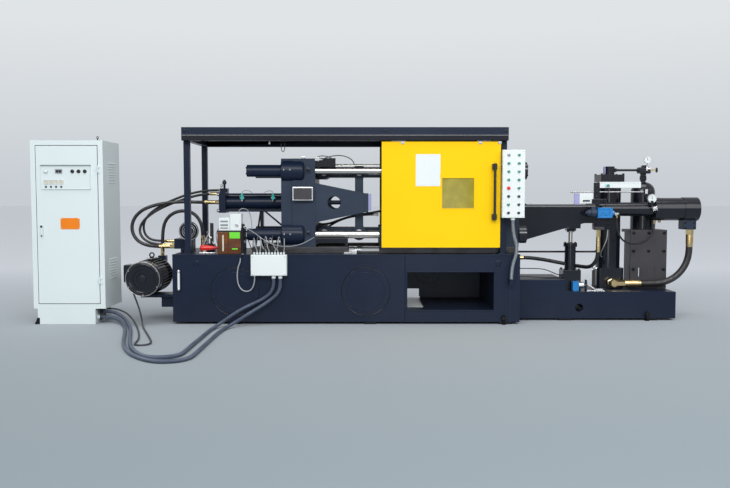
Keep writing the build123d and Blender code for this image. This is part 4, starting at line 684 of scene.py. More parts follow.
# what each carried-over solid is finished in
solidFinishes = {
    "machinePaint": "bed_tank bed_bay bed_fittings tie_bar_covers clamp_cylinder guard_rails guard_roof "
                    "guard_posts motor hydraulic_pump tank_manifold injection_base",
    "blackOxide": "levelling_pads",
    "wornWay": "guide_ways",
    "castPaint": "rear_platen moving_platen fixed_platen toggle_links crosshead crosshead_guides",
    "brightSteel": "tie_bars",
    "machinedSteel": "toggle_pins door_hangers shot_sleeve gas_pipework",
    "shotPaint": "clamp_stroke_gauge injection_frame shot_cylinder intensifier support_jack accumulator "
                 "gas_bottle",
    "yellowPaint": "rear_guard_panel safety_door_panel",
    "windowGlass": "safety_door_window",
    "blackPlastic": "safety_door_handle",
    "panelPaint": "operator_panel junction_box switch_rail",
    "greenPlastic": "operator_buttons",
    "cabinetPaint": "cabinet_shell cabinet_door cabinet_door_fittings cabinet_plinth",
    "amberTank": "lubricator",
    "bracketPaint": "bottle_bracket",
    "valveBlue": "directional_valves",
    "brass": "brass_fittings",
}
finishOf = {node: finish for finish, nodes in solidFinishes.items() for node in nodes.split()}
for node, finish in finishOf.items():
    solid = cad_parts[node]
    solid.data.materials.clear()
    solid.data.materials.append(finishes[finish])

# how far the edges of each solid are broken
brokenEdges = {"cabinet_shell": 4, "cabinet_plinth": 4, "operator_panel": 4, "junction_box": 3,
               "rear_platen": 6, "moving_platen": 6, "fixed_platen": 6, "crosshead": 4,
               "clamp_cylinder": 3, "tie_bar_covers": 4, "guide_ways": 4, "clamp_stroke_gauge": 3,
               "toggle_links": 5, "toggle_pins": 3, "injection_base": 6, "injection_frame": 5,
               "support_jack": 3, "accumulator": 4, "bottle_bracket": 2.5, "gas_bottle": 3,
               "intensifier": 5, "shot_sleeve": 2, "shot_cylinder": 3, "bed_tank": 5, "bed_bay": 5,
               "guard_rails": 4, "guard_roof": 4, "guard_posts": 4, "rear_guard_panel": 3}
for node, width in brokenEdges.items():
    roundedNode(node, finishOf[node], width)
roundedNode("cabinet_door", "cabinetPaint", 2.5, "cabinet_door_leaf")
roundedNode("safety_door_panel", "yellowPaint", 2, "safety_door")
roundedNode("motor", "shotPaint", 1.5)
roundedNode("crosshead_guides", "castPaint", 7, steps=3)
bars = roundedNode("tie_bars", "brightSteel", 3)
bars.data.materials.append(finishes["shotPaint"])
paintedFrom = 1.39
for face in bars.data.polygons:
    face.material_index = 1 if face.center.x > paintedFrom else 0
print("solids finished:", len(finishOf))

# outlines that many pieces share
panHead, flatHead, socketHead = "0:6.5 2:6 3.5:3", "0:6.5 2:6 3:3", "0:8 7:7.8 8:6.5 4:4.5"
hexUnion, gasNut = "0:16 14:16 15:12.5 40:12.5 52:10.8", "0:20 16:20 18:17 28:15"


# electrical cabinet
cabinet = {"knobs": (-2854, -2795, -2736), "meters": (-3106, -3058, -3010, -2961), "digits": (-3006, -2980),
           "louvreTops": (0, 930), "louvrePitch": 26, "louvres": 8}


def cabinetPieces():
    leaf = "cabinet_door_leaf"
    made("instrumentPlate", "cabinetPaint",
         sunk(slab((-3150, -490, 1288), (-2686, -478, 1514), 1.5), 7, -4),
         body=leaf, node="cabinet_door_fittings")
    # the ledge over the instrument plate is dark grey: a real ledge, with the shadow line under it painted
    # into its colour
    made("instrumentShadeLip", "greyPlastic", slab((-3154, -496, 1510), (-2682, -478, 1519), 1), body=leaf)
    made("pilotLamp", "panelPaint",
         turned((-3105, -486, 1458), front, "0:19 5:19 6:15 12:14.5 16:11 18:4"), body=leaf)
    made("pilotBezel", "greyPlastic", turned((-3105, -486, 1458), front, "0:21 3:21 4:18"), body=leaf)
    made("selectorKnobs", "blackPlastic",
         turned((cabinet["knobs"], -486, 1458), front, "0:18 3:18 4:15.5 13:14.5 15:12 15:3"),
         *[slab((x - 3, -508, 1446), (x + 3, -498, 1470), 1) for x in cabinet["knobs"]],
         turned((cabinet["meters"], -486, 1312), front, "0:9.5 3:9.5 4:7 9:7 10:5", 20), body=leaf)
    made("meterFaces", "meterFace",
         *[sunk(slab((x - 17.5, -491.5, 1340.5), (x + 17.5, -489, 1375.5), 0.6), 6, -1, along=4)
           for x in cabinet["meters"]], body=leaf)
    made("meterFrames", "panelPaint",
         *[sunk(slab((x - 20.5, -493, 1337.5), (x + 20.5, -486, 1378.5), 1), 3, -3, along=4)
           for x in cabinet["meters"]], body=leaf)
    made("display", "greyPlastic",
         sunk(slab((-3017, -492, 1438), (-2949, -486, 1478), 1.5), 6, -2), body=leaf)
    made("displayDigits", "blackOxide",
         *[slab((x, -492.5, 1448), (x + 20, -489, 1468), 0.8) for x in cabinet["digits"]], body=leaf)
    plate = slab((-2979, -480.2, 911), (-2798, -478, 1017), 0)
    onlyThis(plate)
    bpy.ops.object.mode_set(mode="EDIT")
    bpy.ops.mesh.select_all(action="DESELECT")
    bpy.ops.mesh.select_mode(type="EDGE")
    bpy.ops.object.mode_set(mode="OBJECT")
    for edge in plate.data.edges:
        start, end = [plate.data.vertices[corner].co for corner in edge.vertices]
        edge.select = abs(start.y - end.y) > mm
    bpy.ops.object.mode_set(mode="EDIT")
    bpy.ops.mesh.bevel(offset=10 * mm, segments=4, affect="EDGES")
    bpy.ops.object.mode_set(mode="OBJECT")
    made("barePlate", "orangePlate", plate, body=leaf)
    made("plateRivets", "silverSteel",
         turned(((-2969, -2808), -480.2, (921, 1007)), front, "0:3.5 1:3.3 2:1.5", 14), body=leaf)
    made("lockHousing", "cabinetPaint",
         sunk(slab((-3173, -488, 839), (-3145, -478, 951), 4, 3), 3, -2), body=leaf)
    made("lockBarrels", "bracketPaint", turned((-3159, -487, 936), front, "0:11 7:10.5 8:7 6:6", 24),
         turned((-3156, -495, 851), front, "0:6.2 4:6 5:4", 20), body=leaf)
    made("lockLever", "panelPaint",
         pinched(slab((-3165, -496, 843), (-3153, -487, 921), 3, 3), lambda face: face.center.z < 0.849,
                 (1.35, 1.2, 1), (-3159, -491.5, 849)), body=leaf)
    made("cabinetEyes", "blackOxide", hoop((-2628, -430, 1779), 9, 3, 28),
         turned((-2628, -430, 1750), up, "0:11 4:11 6:6 12:5 21:4", 24))
    wedge = pinched(slab((-3252, -476, 0), (-3200, -436, 64), 0), facing(up), (0.45, 1, 1),
                    (-3200, -456, 64))
    soften(wedge, 2)
    made("plinthWedge", "blackOxide", wedge)
    made("cableEntry", "blackPlastic",
         sunk(slab((-2641.2, -428, 30), (-2638.5, -262, 144), 1), 10, 0.8, right, everywhere))
    slat = pinched(slab((-2569, -335, 420), (-2563, -115, 436), 0), facing(right), (1, 0.94, 0.35),
                   (-2563, -225, 424))
    made("cabinetLouvres", "cabinetPaint",
         repeated(slat, placesOf([(0, 0, top + cabinet["louvrePitch"] * i) for top in cabinet["louvreTops"]
                                  for i in range(cabinet["louvres"])])))
    made("hingePins", "silverSteel", turned((-2619, -486, (1511.5, 455.5)), up, "0:4 1:6.5 3:6.5 5:3", 16))
    made("backSeam", "cabinetPaint", sunk(slab((-3215, 25, 190), (-2609, 27, 1710), 0.8), 12, -1, back))
    made("backScrews", "silverSteel",
         turned(((-3200, -2624), 26.5, (205, 700, 1200, 1695)), back, "0:7 2:6 3:3", 16))


cabinetPieces()
print("cabinet dressed")


# sliding door and the operator's panel
door = {"plates": {"doorPlateLeft": 400, "doorPlateRight": 530}, "plateWidth": 78, "feet": (1001, 1472),
        "clips": (265, 995, 1178)}
panel = {"columns": (1252, 1348), "firstRow": 1068, "pitch": 77,
         "rows": ("kk", "gk", "kk", "rg", "gg", "gg", "gg", "sg"),
         "caps": {"k": "blackPlastic", "g": "greenPlastic", "r": "redPlastic", "s": "greyPlastic"}}


def doorPieces():
    body = "safety_door"
    made("windowBeads", "yellowPaint", slab((630, -508, 1394), (946, -504, 1402), 1),
         slab((630, -508, 1101), (946, -504, 1109), 1), slab((630, -508, 1109), (638, -504, 1394), 1),
         slab((938, -508, 1109), (946, -504, 1394), 1), body=body)
    made("windowScrews", "yellowPaint",
         turned(((616, 960), -505, (1087, 1416)), front, panHead, 16), body=body)
    for name, x in door["plates"].items():
        made(name, "panelPaint",
             sunk(slab((x, -507.2, 1325), (x + door["plateWidth"], -505, 1610), 0.8), 4, -0.6), body=body)
    made("doorPlateBacking", "panelPaint", slab((388, -506.2, 1318), (620, -505, 1618), 0.4), body=body)
    made("doorHandle", "blackPlastic",
         turned((1128, -557, 997), up, "0:12 3:14.8 55:14.8 62:12.5 473:12.5 480:14.8 532:14.8 535:12", 24),
         *[pinched(slab((1105.5, -545, z), (1150.5, -505, z + 56), 6, 3), facing(front), (0.62, 1, 0.86),
                   (1128, -545, z + 28)) for z in door["feet"]],
         body=body, node="safety_door_handle")
    made("hangerClips", "machinedSteel",
         *[slab((x - 16, -509, 1712), (x + 16, -503, 1737)) for x in door["clips"]],
         turned((door["clips"], -509, 1725), front, "0:6 3:5.5 4:3", 6), body=body)
    made("doorEdgeSeal", "blackPlastic", slab((1187.5, -504, 742), (1190.5, -466, 1732), 0.8), body=body)


def panelPieces():
    made("panelLid", "panelPaint", slab((1202, -577, 1028), (1398, -574, 1650), 1.5))
    heights = [panel["firstRow"] + panel["pitch"] * row for row in range(len(panel["rows"]))]
    made("buttonRings", "plateAluminium",
         turned((panel["columns"], -576, tuple(heights)), front, "0:16.5 4:16.5 6:14.5 6:12.5", 28),
         node="operator_buttons")
    for kind, finish in panel["caps"].items():
        spots = [(x, -575.5, z) for z, kinds in zip(heights, panel["rows"])
                 for x, cap in zip(panel["columns"], kinds) if cap == kind]
        outline = "0:12.5 8:12.5 9.5:11.8 10.5:9.5"
        if kind == "r":
            outline = "0:8 6:8 7:14.5 10:16.5 12:15 13.5:7"
        made("buttonCaps" + finish.capitalize(), finish, turned(spots, front, outline, 24))
    made("panelScrews", "silverSteel",
         turned(((1209, 1391), -577, (1035, 1643)), front, "0:4.5 2:4 3:2", 12))


doorPieces()
panelPieces()
print("door and panel dressed")


# motor, junction box, lubricator and deck at the left end of the bed
def motorPieces():
    made("fanGrille", "shotPaint",
         turned((-2179, -586, 446), front, "0:142 7:142 11:138 11:128 6:122 6:106 12:104 12:90 6:86 "
                "6:72 12:70 12:56 6:52 6:38 13:34 16:24 17:4", 56))
    # the ring at the fan cover's edge is bright steel: a painted highlight on the cover's rim
    made("fanRimHighlight", "machinedSteel", hoop((-2179, -588, 446), 160, 4.2, 72))
    made("motorEye", "blackOxide", hoop((-2166, -300, 652), 21, 6.5, 32),
         turned((-2166, -300, 600), up, "0:20 22:20 26:12 36:9", 24))
    made("fanScrews", "machinedSteel",
         turned(around((-2179, -587, 446), 152, 6, 30), front, "0:6.5 3:6 4:3", 6))
    made("motorTag", "plateAluminium",
         sunk(slab((-2214, -360, 617), (-2144, -240, 619.5), 0.8), 4, -0.6, up, everywhere))
    made("terminalLid", "machinePaint", slab((-2423.5, -372, 398), (-2417, -208, 552)))
    made("terminalScrews", "silverSteel",
         turned((-2423.5, (-362, -218), (408, 542)), left, "0:6 1:5.5 1.5:3", 14))
    made("motorGland", "blackPlastic", turned((-2370, -300, 374.5), up, "0:15 3:17.5 12:17.5 14:15.5", 6))
    made("pumpFlange", "machinePaint", turned((-2179, -100, 446), back, "0:120 14:120 16:117 16:90", 40))
    made("pumpBolts", "blackOxide", hexHead(around((-2179, -84, 446), 103, 4, 45), back, 10, 10))
    made("pumpCap", "shotPaint", turned((-2179, 100, 446), back, "0:62 10:62 12:58 12:30 18:28 19:10", 40))


junction = {"left": -1167, "width": 338, "glands": 11,
            "elbows": ((-956, 447, 21.2), (-893, 447, 21.2), (-1137, 462, 10))}


def junctionPieces():
    made("junctionLid", "panelPaint", slab((-1163, -559, 479), (-833, -553, 667)))
    made("junctionScrews", "silverSteel", turned(((-1151, -845), -559, (491, 655)), front, flatHead, 16))
    count = junction["glands"]
    spots = [(junction["left"] + (i + 1) * junction["width"] / (count + 1), -519, 671)
             for i in range(count)]
    made("glandNuts", "silverSteel", turned(spots, up, "0:11.5 9:11.5 10:9.8 22.5:9.8 24:7.5", 6),
         *[turned((x, -519, z), up, [(0, wide * 0.9), (3, wide), (11, wide), (13.5, wide * 0.92)], 6)
           for x, z, wide in junction["elbows"]])


def lubricatorPieces():
    made("oilTank", "amberTank", slab((-1497, -467, 670), (-1272, -323, 884), 8, 3), node="lubricator")
    made("tankRibs", "amberTank",
         *[slab((x - 3, -469, 682), (x + 3, -462, 876), 1) for x in (-1488, -1388, -1282)])
    made("oilLevel", "meterFace", turned((-1442, -458, 700), up, "0:10 4:12 150:12 156:9", 24))
    made("tankLid", "blackPlastic", slab((-1500, -470, 882), (-1266, -320, 896), 3))
    made("lubricatorStand", "shotPaint", sunk(slab((-1270, -470, 670), (-1240, -320, 926), 3), 5, -4))
    made("leftHead", "panelPaint", slab((-1480, -464, 896), (-1377, -350, 1020), 5, 3))
    made("rightHead", "panelPaint", slab((-1375, -464, 896), (-1267, -350, 1057), 5, 3))
    made("headWindows", "greyPlastic", *[slab((-1466, -466.5, z), (-1393, -462, z + tall), 1)
                                         for z, tall in ((914, 13), (940, 18), (976, 16))])
    made("headDial", "plateAluminium", turned((-1310, -464, 946), front, "0:17 4:17 5:15 3:13 3:2", 28))
    made("bareLabel", "limeLabel", slab((-1380, -469.5, 822), (-1280, -466, 882), 1))
    made("bareStrip", "limeLabel", slab((-1358, -469.5, 716), (-1302, -466, 728), 1))
    made("standKnob", "blackPlastic",
         turned((-1258, -440, 926), up, "0:6 8:6 10:16 16:21 26:21 33:14 35:4", 28))


def deckPieces():
    made("oilManifold", "machinePaint", slab((-1990, -130, 700), (-1830, 130, 800), 5, 3),
         slab((-1926, -130, 670), (-1830, 130, 704), 4), node="tank_manifold")
    r = 97
    made("filterDrum", "shotPaint",
         turned((-1826, -136, 880), front,
                [(0, r * 0.82), (6, r * 0.86), (50, r * 0.86), (54, r), (66, r), (70, r * 0.96),
                 (70, r * 0.80), (64, r * 0.76), (64, r * 0.30), (72, r * 0.26), (74, r * 0.05)], 48))
    made("drumHoops", "plateAluminium", *[hoop((-1826, y, 880), r * share, 3.2)
                                          for share, y in ((0.92, -206), (0.66, -202), (0.50, -202))])
    made("drumFoot", "machinePaint", slab((-1860, -202, 670), (-1792, -138, 880 - r * 0.72), 4))
    made("redGrip", "redPlastic", turned((-1690, -330, 722), (1, 0, 0.02),
                                         "0:12 6:24 22:30 60:30 85:25 125:18 160:13 176:9 180:4"))
    made("gripRest", "silverSteel", slab((-1660, -346, 670), (-1628, -314, 702), 3),
         slab((-1690, -364, 670), (-1540, -296, 680), 3))
    made("leverValve", "shotPaint", sunk(slab((-1680, -205, 670), (-1575, -120, 752), 6, 3), 12, -4))
    made("valveLever", "blackPlastic",
         pinched(slab((-1622, -175, 752), (-1590, -147, 960), 5, 3), facing(up), (0.45, 0.7, 1),
                 (-1606, -161, 960), (-30, 0, 0)))
    made("valveCluster", "silverSteel",
         turned((-1645, -170, 750), up,
                "0:20 12:20 14:12 52:12 54:19 76:19 78:9 110:7 112:13 124:13 128:4", 6),
         turned((-1672, -170, 800), (1, 0, 0.25), "0:10 10:13 24:13 26:7 54:7 56:12 70:12 72:6", 20),
         rod((-1700, -190, 712), (-1640, -175, 840), 6), rod((-1566, -180, 700), (-1640, -160, 856), 5),
         turned((-1575, -160, 720), right, "0:16 12:16 14:10 34:10 36:6", 6))
    made("gaugeTube", "panelPaint", turned((-1863, -495, 348), up, "0:9 4:11.5 150:11.5 154:9", 24))
    made("gaugeBolts", "plateAluminium",
         turned((-1863, -489, (340, 510)), front, "0:16.5 6:16.5 12:15 17:10 19:4", 24))


motorPieces()
junctionPieces()
lubricatorPieces()
deckPieces()
print("motor end dressed")


# toggle clamp
clamp = {"tieY": 308, "tieZ": (852, 1468), "plugY": 406, "plugZ": (859, 1475),
         "capNuts": ((-81, 81), (1079, 1241)), "switches": (-1313, -1003.5),
         "endScrews": ((1470.5, right, 62), (-1231.2, left, 40))}


def clampPieces():
    tieY, tieZ = clamp["tieY"], clamp["tieZ"]
    made("tieBosses", "machinePaint",
         turned((-897, (-tieY, tieY), tieZ), right, "0:92 10:102 193:102 211:96 223:80", 56))
    made("bossPlugs", "machinedSteel",
         *[turned(((-865.5, -808), clamp["plugY"] * way[1], clamp["plugZ"]), way, "0:8 8:8 9:6 6:5", 6)
           for way in (front, back)])
    made("platenPlugs", "shotPaint",
         *[turned((-634.8, 396 * way[1], (1478.6, 871.5)), way,
                  "0:19 4.5:19 5.5:16 3:14 3:9.5 10:9.5 11:7", 6) for way in (front, back)])
    made("barePlatenPlate", "plateAluminium", sunk(slab((-784, -403, 1181), (-589, -397, 1311), 1), 7, -1))
    made("barePlatenField", "bracketPaint", slab((-774, -403.6, 1191), (-599, -400, 1301), 0.5))
    made("plateRivets", "silverSteel",
         turned(((-774, -599), -403, (1191, 1301)), front, "0:4.5 1.2:4 2.4:2", 14))
    made("armEnds", "castPaint", slab((-99, -354, 1068), (-58, -310, 1252), 6, 3),
         slab((-99, 310, 1068), (-58, 354, 1252), 6, 3))
    made("armPlate", "lilacPlate", sunk(slab((-58.5, -352, 1086), (-30, -314, 1246), 4, 3), 5, -2))
    bushes = joined([turned((-388, 351.5 * way[1], 1160), way, "0:64 2.5:67 3.5:70", 48)
                     for way in (front, back)])
    pickFaces(bushes, lambda face: abs(face.normal.y) > 0.9)
    bpy.ops.mesh.delete(type="FACE")
    bpy.ops.object.mode_set(mode="OBJECT")
    made("armBushes", "castPaint", bushes)
    made("capNuts", "silverSteel", hexHead((-1545, *clamp["capNuts"]), left, 16, 20),
         turned((-1563, *clamp["capNuts"]), left, "0:9 10:9 12:7", 20))
    made("endScrews", "blackOxide",
         *[turned(around((x, y, z), radius, 4, 45, (1, 2)), way, socketHead, 16)
           for y in (-tieY, tieY) for z in tieZ for x, way, radius in clamp["endScrews"]])


def clampTrim():
    made("wayLiner", "plateAluminium",
         insetFaces(slab((-246, -366.5, 692), (46, -250, 736.8), 1),
                    lambda face: facing(front)(face) and face.normal.z < 0.3, 4, -0.8))
    made("capValveKnob", "blackPlastic",
         turned((-1508, 17, 1330), up, "0:9 10:9 14:17 26:22 40:20 50:12 53:4", 28))
    made("capValveBall", "silverSteel",
         turned((-1530, -28, 1318), up, "0:4 3:10 9:13.5 15:13.5 21:10 24:4", 24),
         turned((-1530, -28, 1301), up, "0:11 12:11 14:9 18:6", 6))
    made("positionSwitches", "tealPlastic",
         turned((clamp["switches"], -107, 1187), up, "0:12 3:14.5 48:14.5 52:11 62:8", 24))
    made("switchSaddles", "silverSteel",
         *[slab((x - 20, -108, 1198), (x + 20, -62, 1214)) for x in clamp["switches"]],
         turned((clamp["switches"], -107, 1170), up, "0:8 4:10 18:10 20:8", 6))
    made("barrelStand", "shotPaint", slab((-1143, -30, 670), (-1110, 30, 1100), 3),
         slab((-1175, -60, 670), (-1078, 60, 684), 3), rod((-1140, 0, 1085), (-1205, 0, 680), 9),
         rod((-1114, 0, 1085), (-900, 0, 905), 9))
    made("gaugeRod", "brightSteel", rod((-362, -344, 1519.5), (50, -344, 1519.5), 6.5),
         turned((-372, -344, 1519.5), right, "0:11 16:11 18:9", 6))
    made("gaugePlugs", "silverSteel", slab((-572, -372, 1560), (-528, -330, 1598), 4, 3),
         turned((-528, -350, 1575), right, "0:12 16:12 18:9 30:8", 6),
         slab((-700, -360, 1584), (-664, -324, 1606), 3))
    made("railHook", "panelPaint", turned((-995, -448, 1745.2), down, "0:7 10:7 12:9 22:10 30:8 32:3", 24))
    made("slideBeam", "shotPaint", slab((-572, -342, 768), (-255, -262, 818), 4, 3),
         slab((-285, -338, 734), (-255, -266, 772), 3))
    made("wayStop", "silverSteel", slab((-292, -405, 669), (-215, -372, 686)),
         slab((-222, -405, 669), (-170, -372, 704)), slab((-190, -404, 702), (-128, -374, 716)))
    made("wayRods", "blackOxide", slab((-255, -402, 722), (68, -370, 734)),
         slab((-160, -402, 732), (-120, -370, 748), 3))
    made("ejectorEnds", "silverSteel", turned((-570, 285, 868), right, hexUnion, 6),
         turned((48, 285, 1030), left, hexUnion, 6))


clampPieces()
clampTrim()
print("clamp dressed")


# injection end; the hoses' ends are start, way, length, radius and the hose's radius
hoseEnds = (((-1545, -20, 1162), left, 130, 21, 17), ((-1990, -90, 722), left, 130, 21, 17),
            ((-1990, 60, 768), left, 115, 16, 12), ((-1545, -5, 1247), left, 85, 17, 13),
            ((-1990, -45, 738), left, 105, 17, 13), ((-2137, 0, 624), up, 96, 20, 17),
            ((-1734, 20, 670), up, 130, 20, 17), ((3183, -15, 892), down, 153, 38.5, 33),
            ((2205, -210, 897), down, 197, 22.5, 19), ((1389, 131, 592), right, 122, 22.5, 19),
            ((2459, -15, 342), right, 212, 37.5, 33))


def hoseEnd(start, way, length, radius, hose):
    # the union's hexagon at the machine, a ferrule with three rolled grooves at the hose, and its sleeve
    low = length * 0.34
    rings = [(0, radius * 0.70), (low + 4, radius * 0.70), (low + 5, radius * 0.95)]
    for share in (0.30, 0.48, 0.66):
        spot = low + (length - low) * share
        rings += [(spot, radius * 0.97), (spot + 2, radius * 0.90), (spot + 4, radius * 0.97)]
    rings += [(length, radius * 0.96), (length + 4, (radius + hose) / 2), (length + 26, hose + 1.2)]
    nut = [(0, radius * 0.86), (2, radius), (low, radius), (length * 0.37, radius * 0.9)]
    return joined([turned(start, way, nut, 6), turned(start, way, rings)])


def fittingPieces():
    made("brassHoseEnds", "brass", *[hoseEnd(*end) for end in hoseEnds],
         turned((-1545, 30, 1282), left, "0:15 8:15 10:13.5 30:12.5", 6),
         turned((2427, 76, 342), front, "0:40 16:40 20:32 50:32 54:41 98:43 122:43 130:36 131:10", 6),
         rod((2427, -15, 342), (2470, -15, 342), 32, 4, 32),
         turned((2305, -222, 1045), right, "0:14 20:14 22:10 66:10 75:11.5 86:10.5", 6),
         turned((2380, -222, 1052), down, "0:8 3:11.5 14:11.5 22:10.5 40:9.8", 24),
         turned((2832, 0, 985), down, "0:11 6:13.5 18:13.5 20:12 27:11.5 45:9.8", 6), node="brass_fittings")


def valvePieces():
    made("shotValve", "valveBlue", sunk(slab((2171, -305, 1012), (2314, -244.5, 1112), 4, 3), 16, -5),
         turned([(2197 + 30 * i, -301, 1042 + 22 * (i % 2)) for i in range(4)], front,
                "0:10 5:10 7:8 5:5", 6), node="directional_valves")
    made("leftCoil", "castPaint",
         turned((2171, -275, 1060), left,
                "0:22 8:22 10:38 14:41 58:41 62:36 66:36 68:30 94:30 98:18 112:16 114:8", 40),
         slab((2111, -297, 1090), (2155, -253, 1122), 4, 3))
    made("rightCap", "valveBlue", turned((2314, -275, 1060), right, "0:24 6:25 16:25 18:18 22:16"))
    made("valveUnions", "silverSteel",
         turned((2334, -263, 1060), (1, 0, -0.2), "0:13 12:13 14:8 34:8 36:12 52:12 54:7", 6),
         turned((2360, -263, 1056), down, "0:9 10:11 22:11 24:8", 6))
    made("portBlock", "shotPaint", slab((2151, -245, 897), (2305, -175, 1062), 4, 3))
    made("portFlange", "bracketPaint", slab((2159, -249, 893), (2253, -173, 923), 3))
    made("portScrews", "blackOxide", turned(((2167, 2289), -245, (947, 992)), front, socketHead, 16))


def switchPieces():
    made("switchRail", "panelPaint", sunk(slab((2224.5, -157, 1305), (2635, -145, 1364), 1.5), 8, -3),
         node="switch_rail")
    made("railPost", "shotPaint", slab((2170, -161, 1185), (2228, -141, 1358), 4, 3),
         slab((2150, -167, 1150), (2300, -95, 1196), 5, 3),
         turned((2199, -161, (1218, 1270, 1322)), front, "0:9 5:9 6:7", 6))
    made("switchRod", "machinedSteel", rod((1937, -151, 1265), (2668, -151, 1265), 6.2))
    made("rodNuts", "silverSteel",
         turned(((1960, 2034, 2160, 2640), -151, 1265), right, "0:10.5 2:12 9:12 11:10.5", 6))
    made("rodBracket", "lilacPlate", sunk(slab((1977, -158, 1139), (2024, -144, 1252), 3), 6, -2))
    made("coverPlate", "panelPaint", slab((2030, -158, 1150), (2166, -144, 1252), 3))
    made("coverHandle", "shotPaint", slab((2062, -169, 1172), (2132, -157, 1186), 4, 3))
    made("railSensor", "tealPlastic", turned((2304, -155, 1332), front, "0:13 3:15 18:15 20:12 25:9", 24))
    made("sensorNut", "silverSteel", turned((2304, -163, 1332), front, "0:19 6:19 7:17", 6),
         turned((2304, -179, 1332), front, "0:6 12:4", 16))
    made("rodClamp", "shotPaint", slab((2664, -170, 1236), (2706, -128, 1300), 4, 3),
         turned((2706, -149, 1280), right, "0:9 10:9 12:14 26:14 28:8", 20))
    made("clampTag", "plateAluminium", slab((2672, -172.5, 1246), (2698, -169.5, 1290), 1))


def dial(name, centre, r, finish):
    x, y, z = centre
    made(name, finish, turned(centre, front, [(0, r * 0.72), (4, r * 0.92), (8, r), (24, r), (27, r * 0.97),
                                              (27, r * 0.88), (22, r * 0.86)], 40))
    made(name + "Face", "panelPaint", turned((x, y - 16, z), front, [(0, r * 0.87), (7, r * 0.87)], 40))
    made(name + "Needle", "blackPlastic",
         slab((x - 1.2, y - 24.5, z - 6), (x + 1.2, y - 23, z + r * 0.6), 0),
         turned((x, y - 22, z), front, "0:4 3:4 4:2", 16))


def gasPieces():
    made("gasBlock", "shotPaint", slab((2733, 183, 1455), (2853, 268, 1520), 8, 3),
         rod((2478, 195, 1490), (2735, 195, 1490), 12),
         turned((2793, 225.5, 1519), up, "0:30 12:30 15:24 22:22", 6),
         turned((2793, 242, 1385), up, "0:34 8:36 40:36 46:31 70:31", 8),
         turned((2479, 195, 1490), right, gasNut, 6), turned((2733, 195, 1490), left, gasNut, 6),
         node="gas_pipework")
    made("gasValve", "silverSteel", turned((2812, 184, 1503), front, "0:14 12:14 14:10 30:10 32:4", 6),
         turned((2800, 176, 1520), (1, 0, -0.55), "0:5 4:8 50:8 54:5", 16),
         turned((2798, 176, 1484), (1, 0, 0.62), "0:5 4:8 52:8 56:5", 16),
         turned((2816, 196, 1518), up, "0:11 14:11 16:7 50:7", 6))
    made("wheelStem", "brass",
         turned((2850, 235, 1492), right, "0:13 14:13 16:8 30:8 32:11 46:11 48:6 78:6", 6))
    made("gasWheel", "blackPlastic",
         turned((2922, 235, 1492), right, "0:8 1:22 4:26 9:26 12:22 13:9 18:7 19:3", 40))
    dial("gasDial", (2816, 209, 1597), 36, "silverSteel")
    made("lowDialStem", "shotPaint", slab((2756, -100, 1128), (2784, 10, 1178), 4, 3),
         turned((2770, -78, 1158), up, "0:12 20:12 22:9 30:9", 6))
    dial("lowDial", (2771, -70, 1200), 45, "plateAluminium")
    hub, arms = Vector((2790, -124, 1100)), []
    for turn in range(4):
        angle = math.radians(45 * turn + 12)
        reach = Vector((math.cos(angle), 0, math.sin(angle))) * (30 if turn % 2 else 24)
        arms.append(rod(tuple(hub - reach), tuple(hub + reach), 5.5))
    made("starValve", "silverSteel", turned((2790, -112, 1100), front, "0:14 12:14 14:8 22:8", 6), *arms)
    made("valveStub", "shotPaint", turned((2790, -69, 1092), front, "0:12 44:12 46:9", 6))
    made("drainBrass", "brass", turned((2880, 0, 984), down, "0:10 6:15 20:15 22:10 30:8", 6))
    made("neckStrip", "lilacPlate", slab((2368, 150, 1450), (2374.5, 215, 1524)))


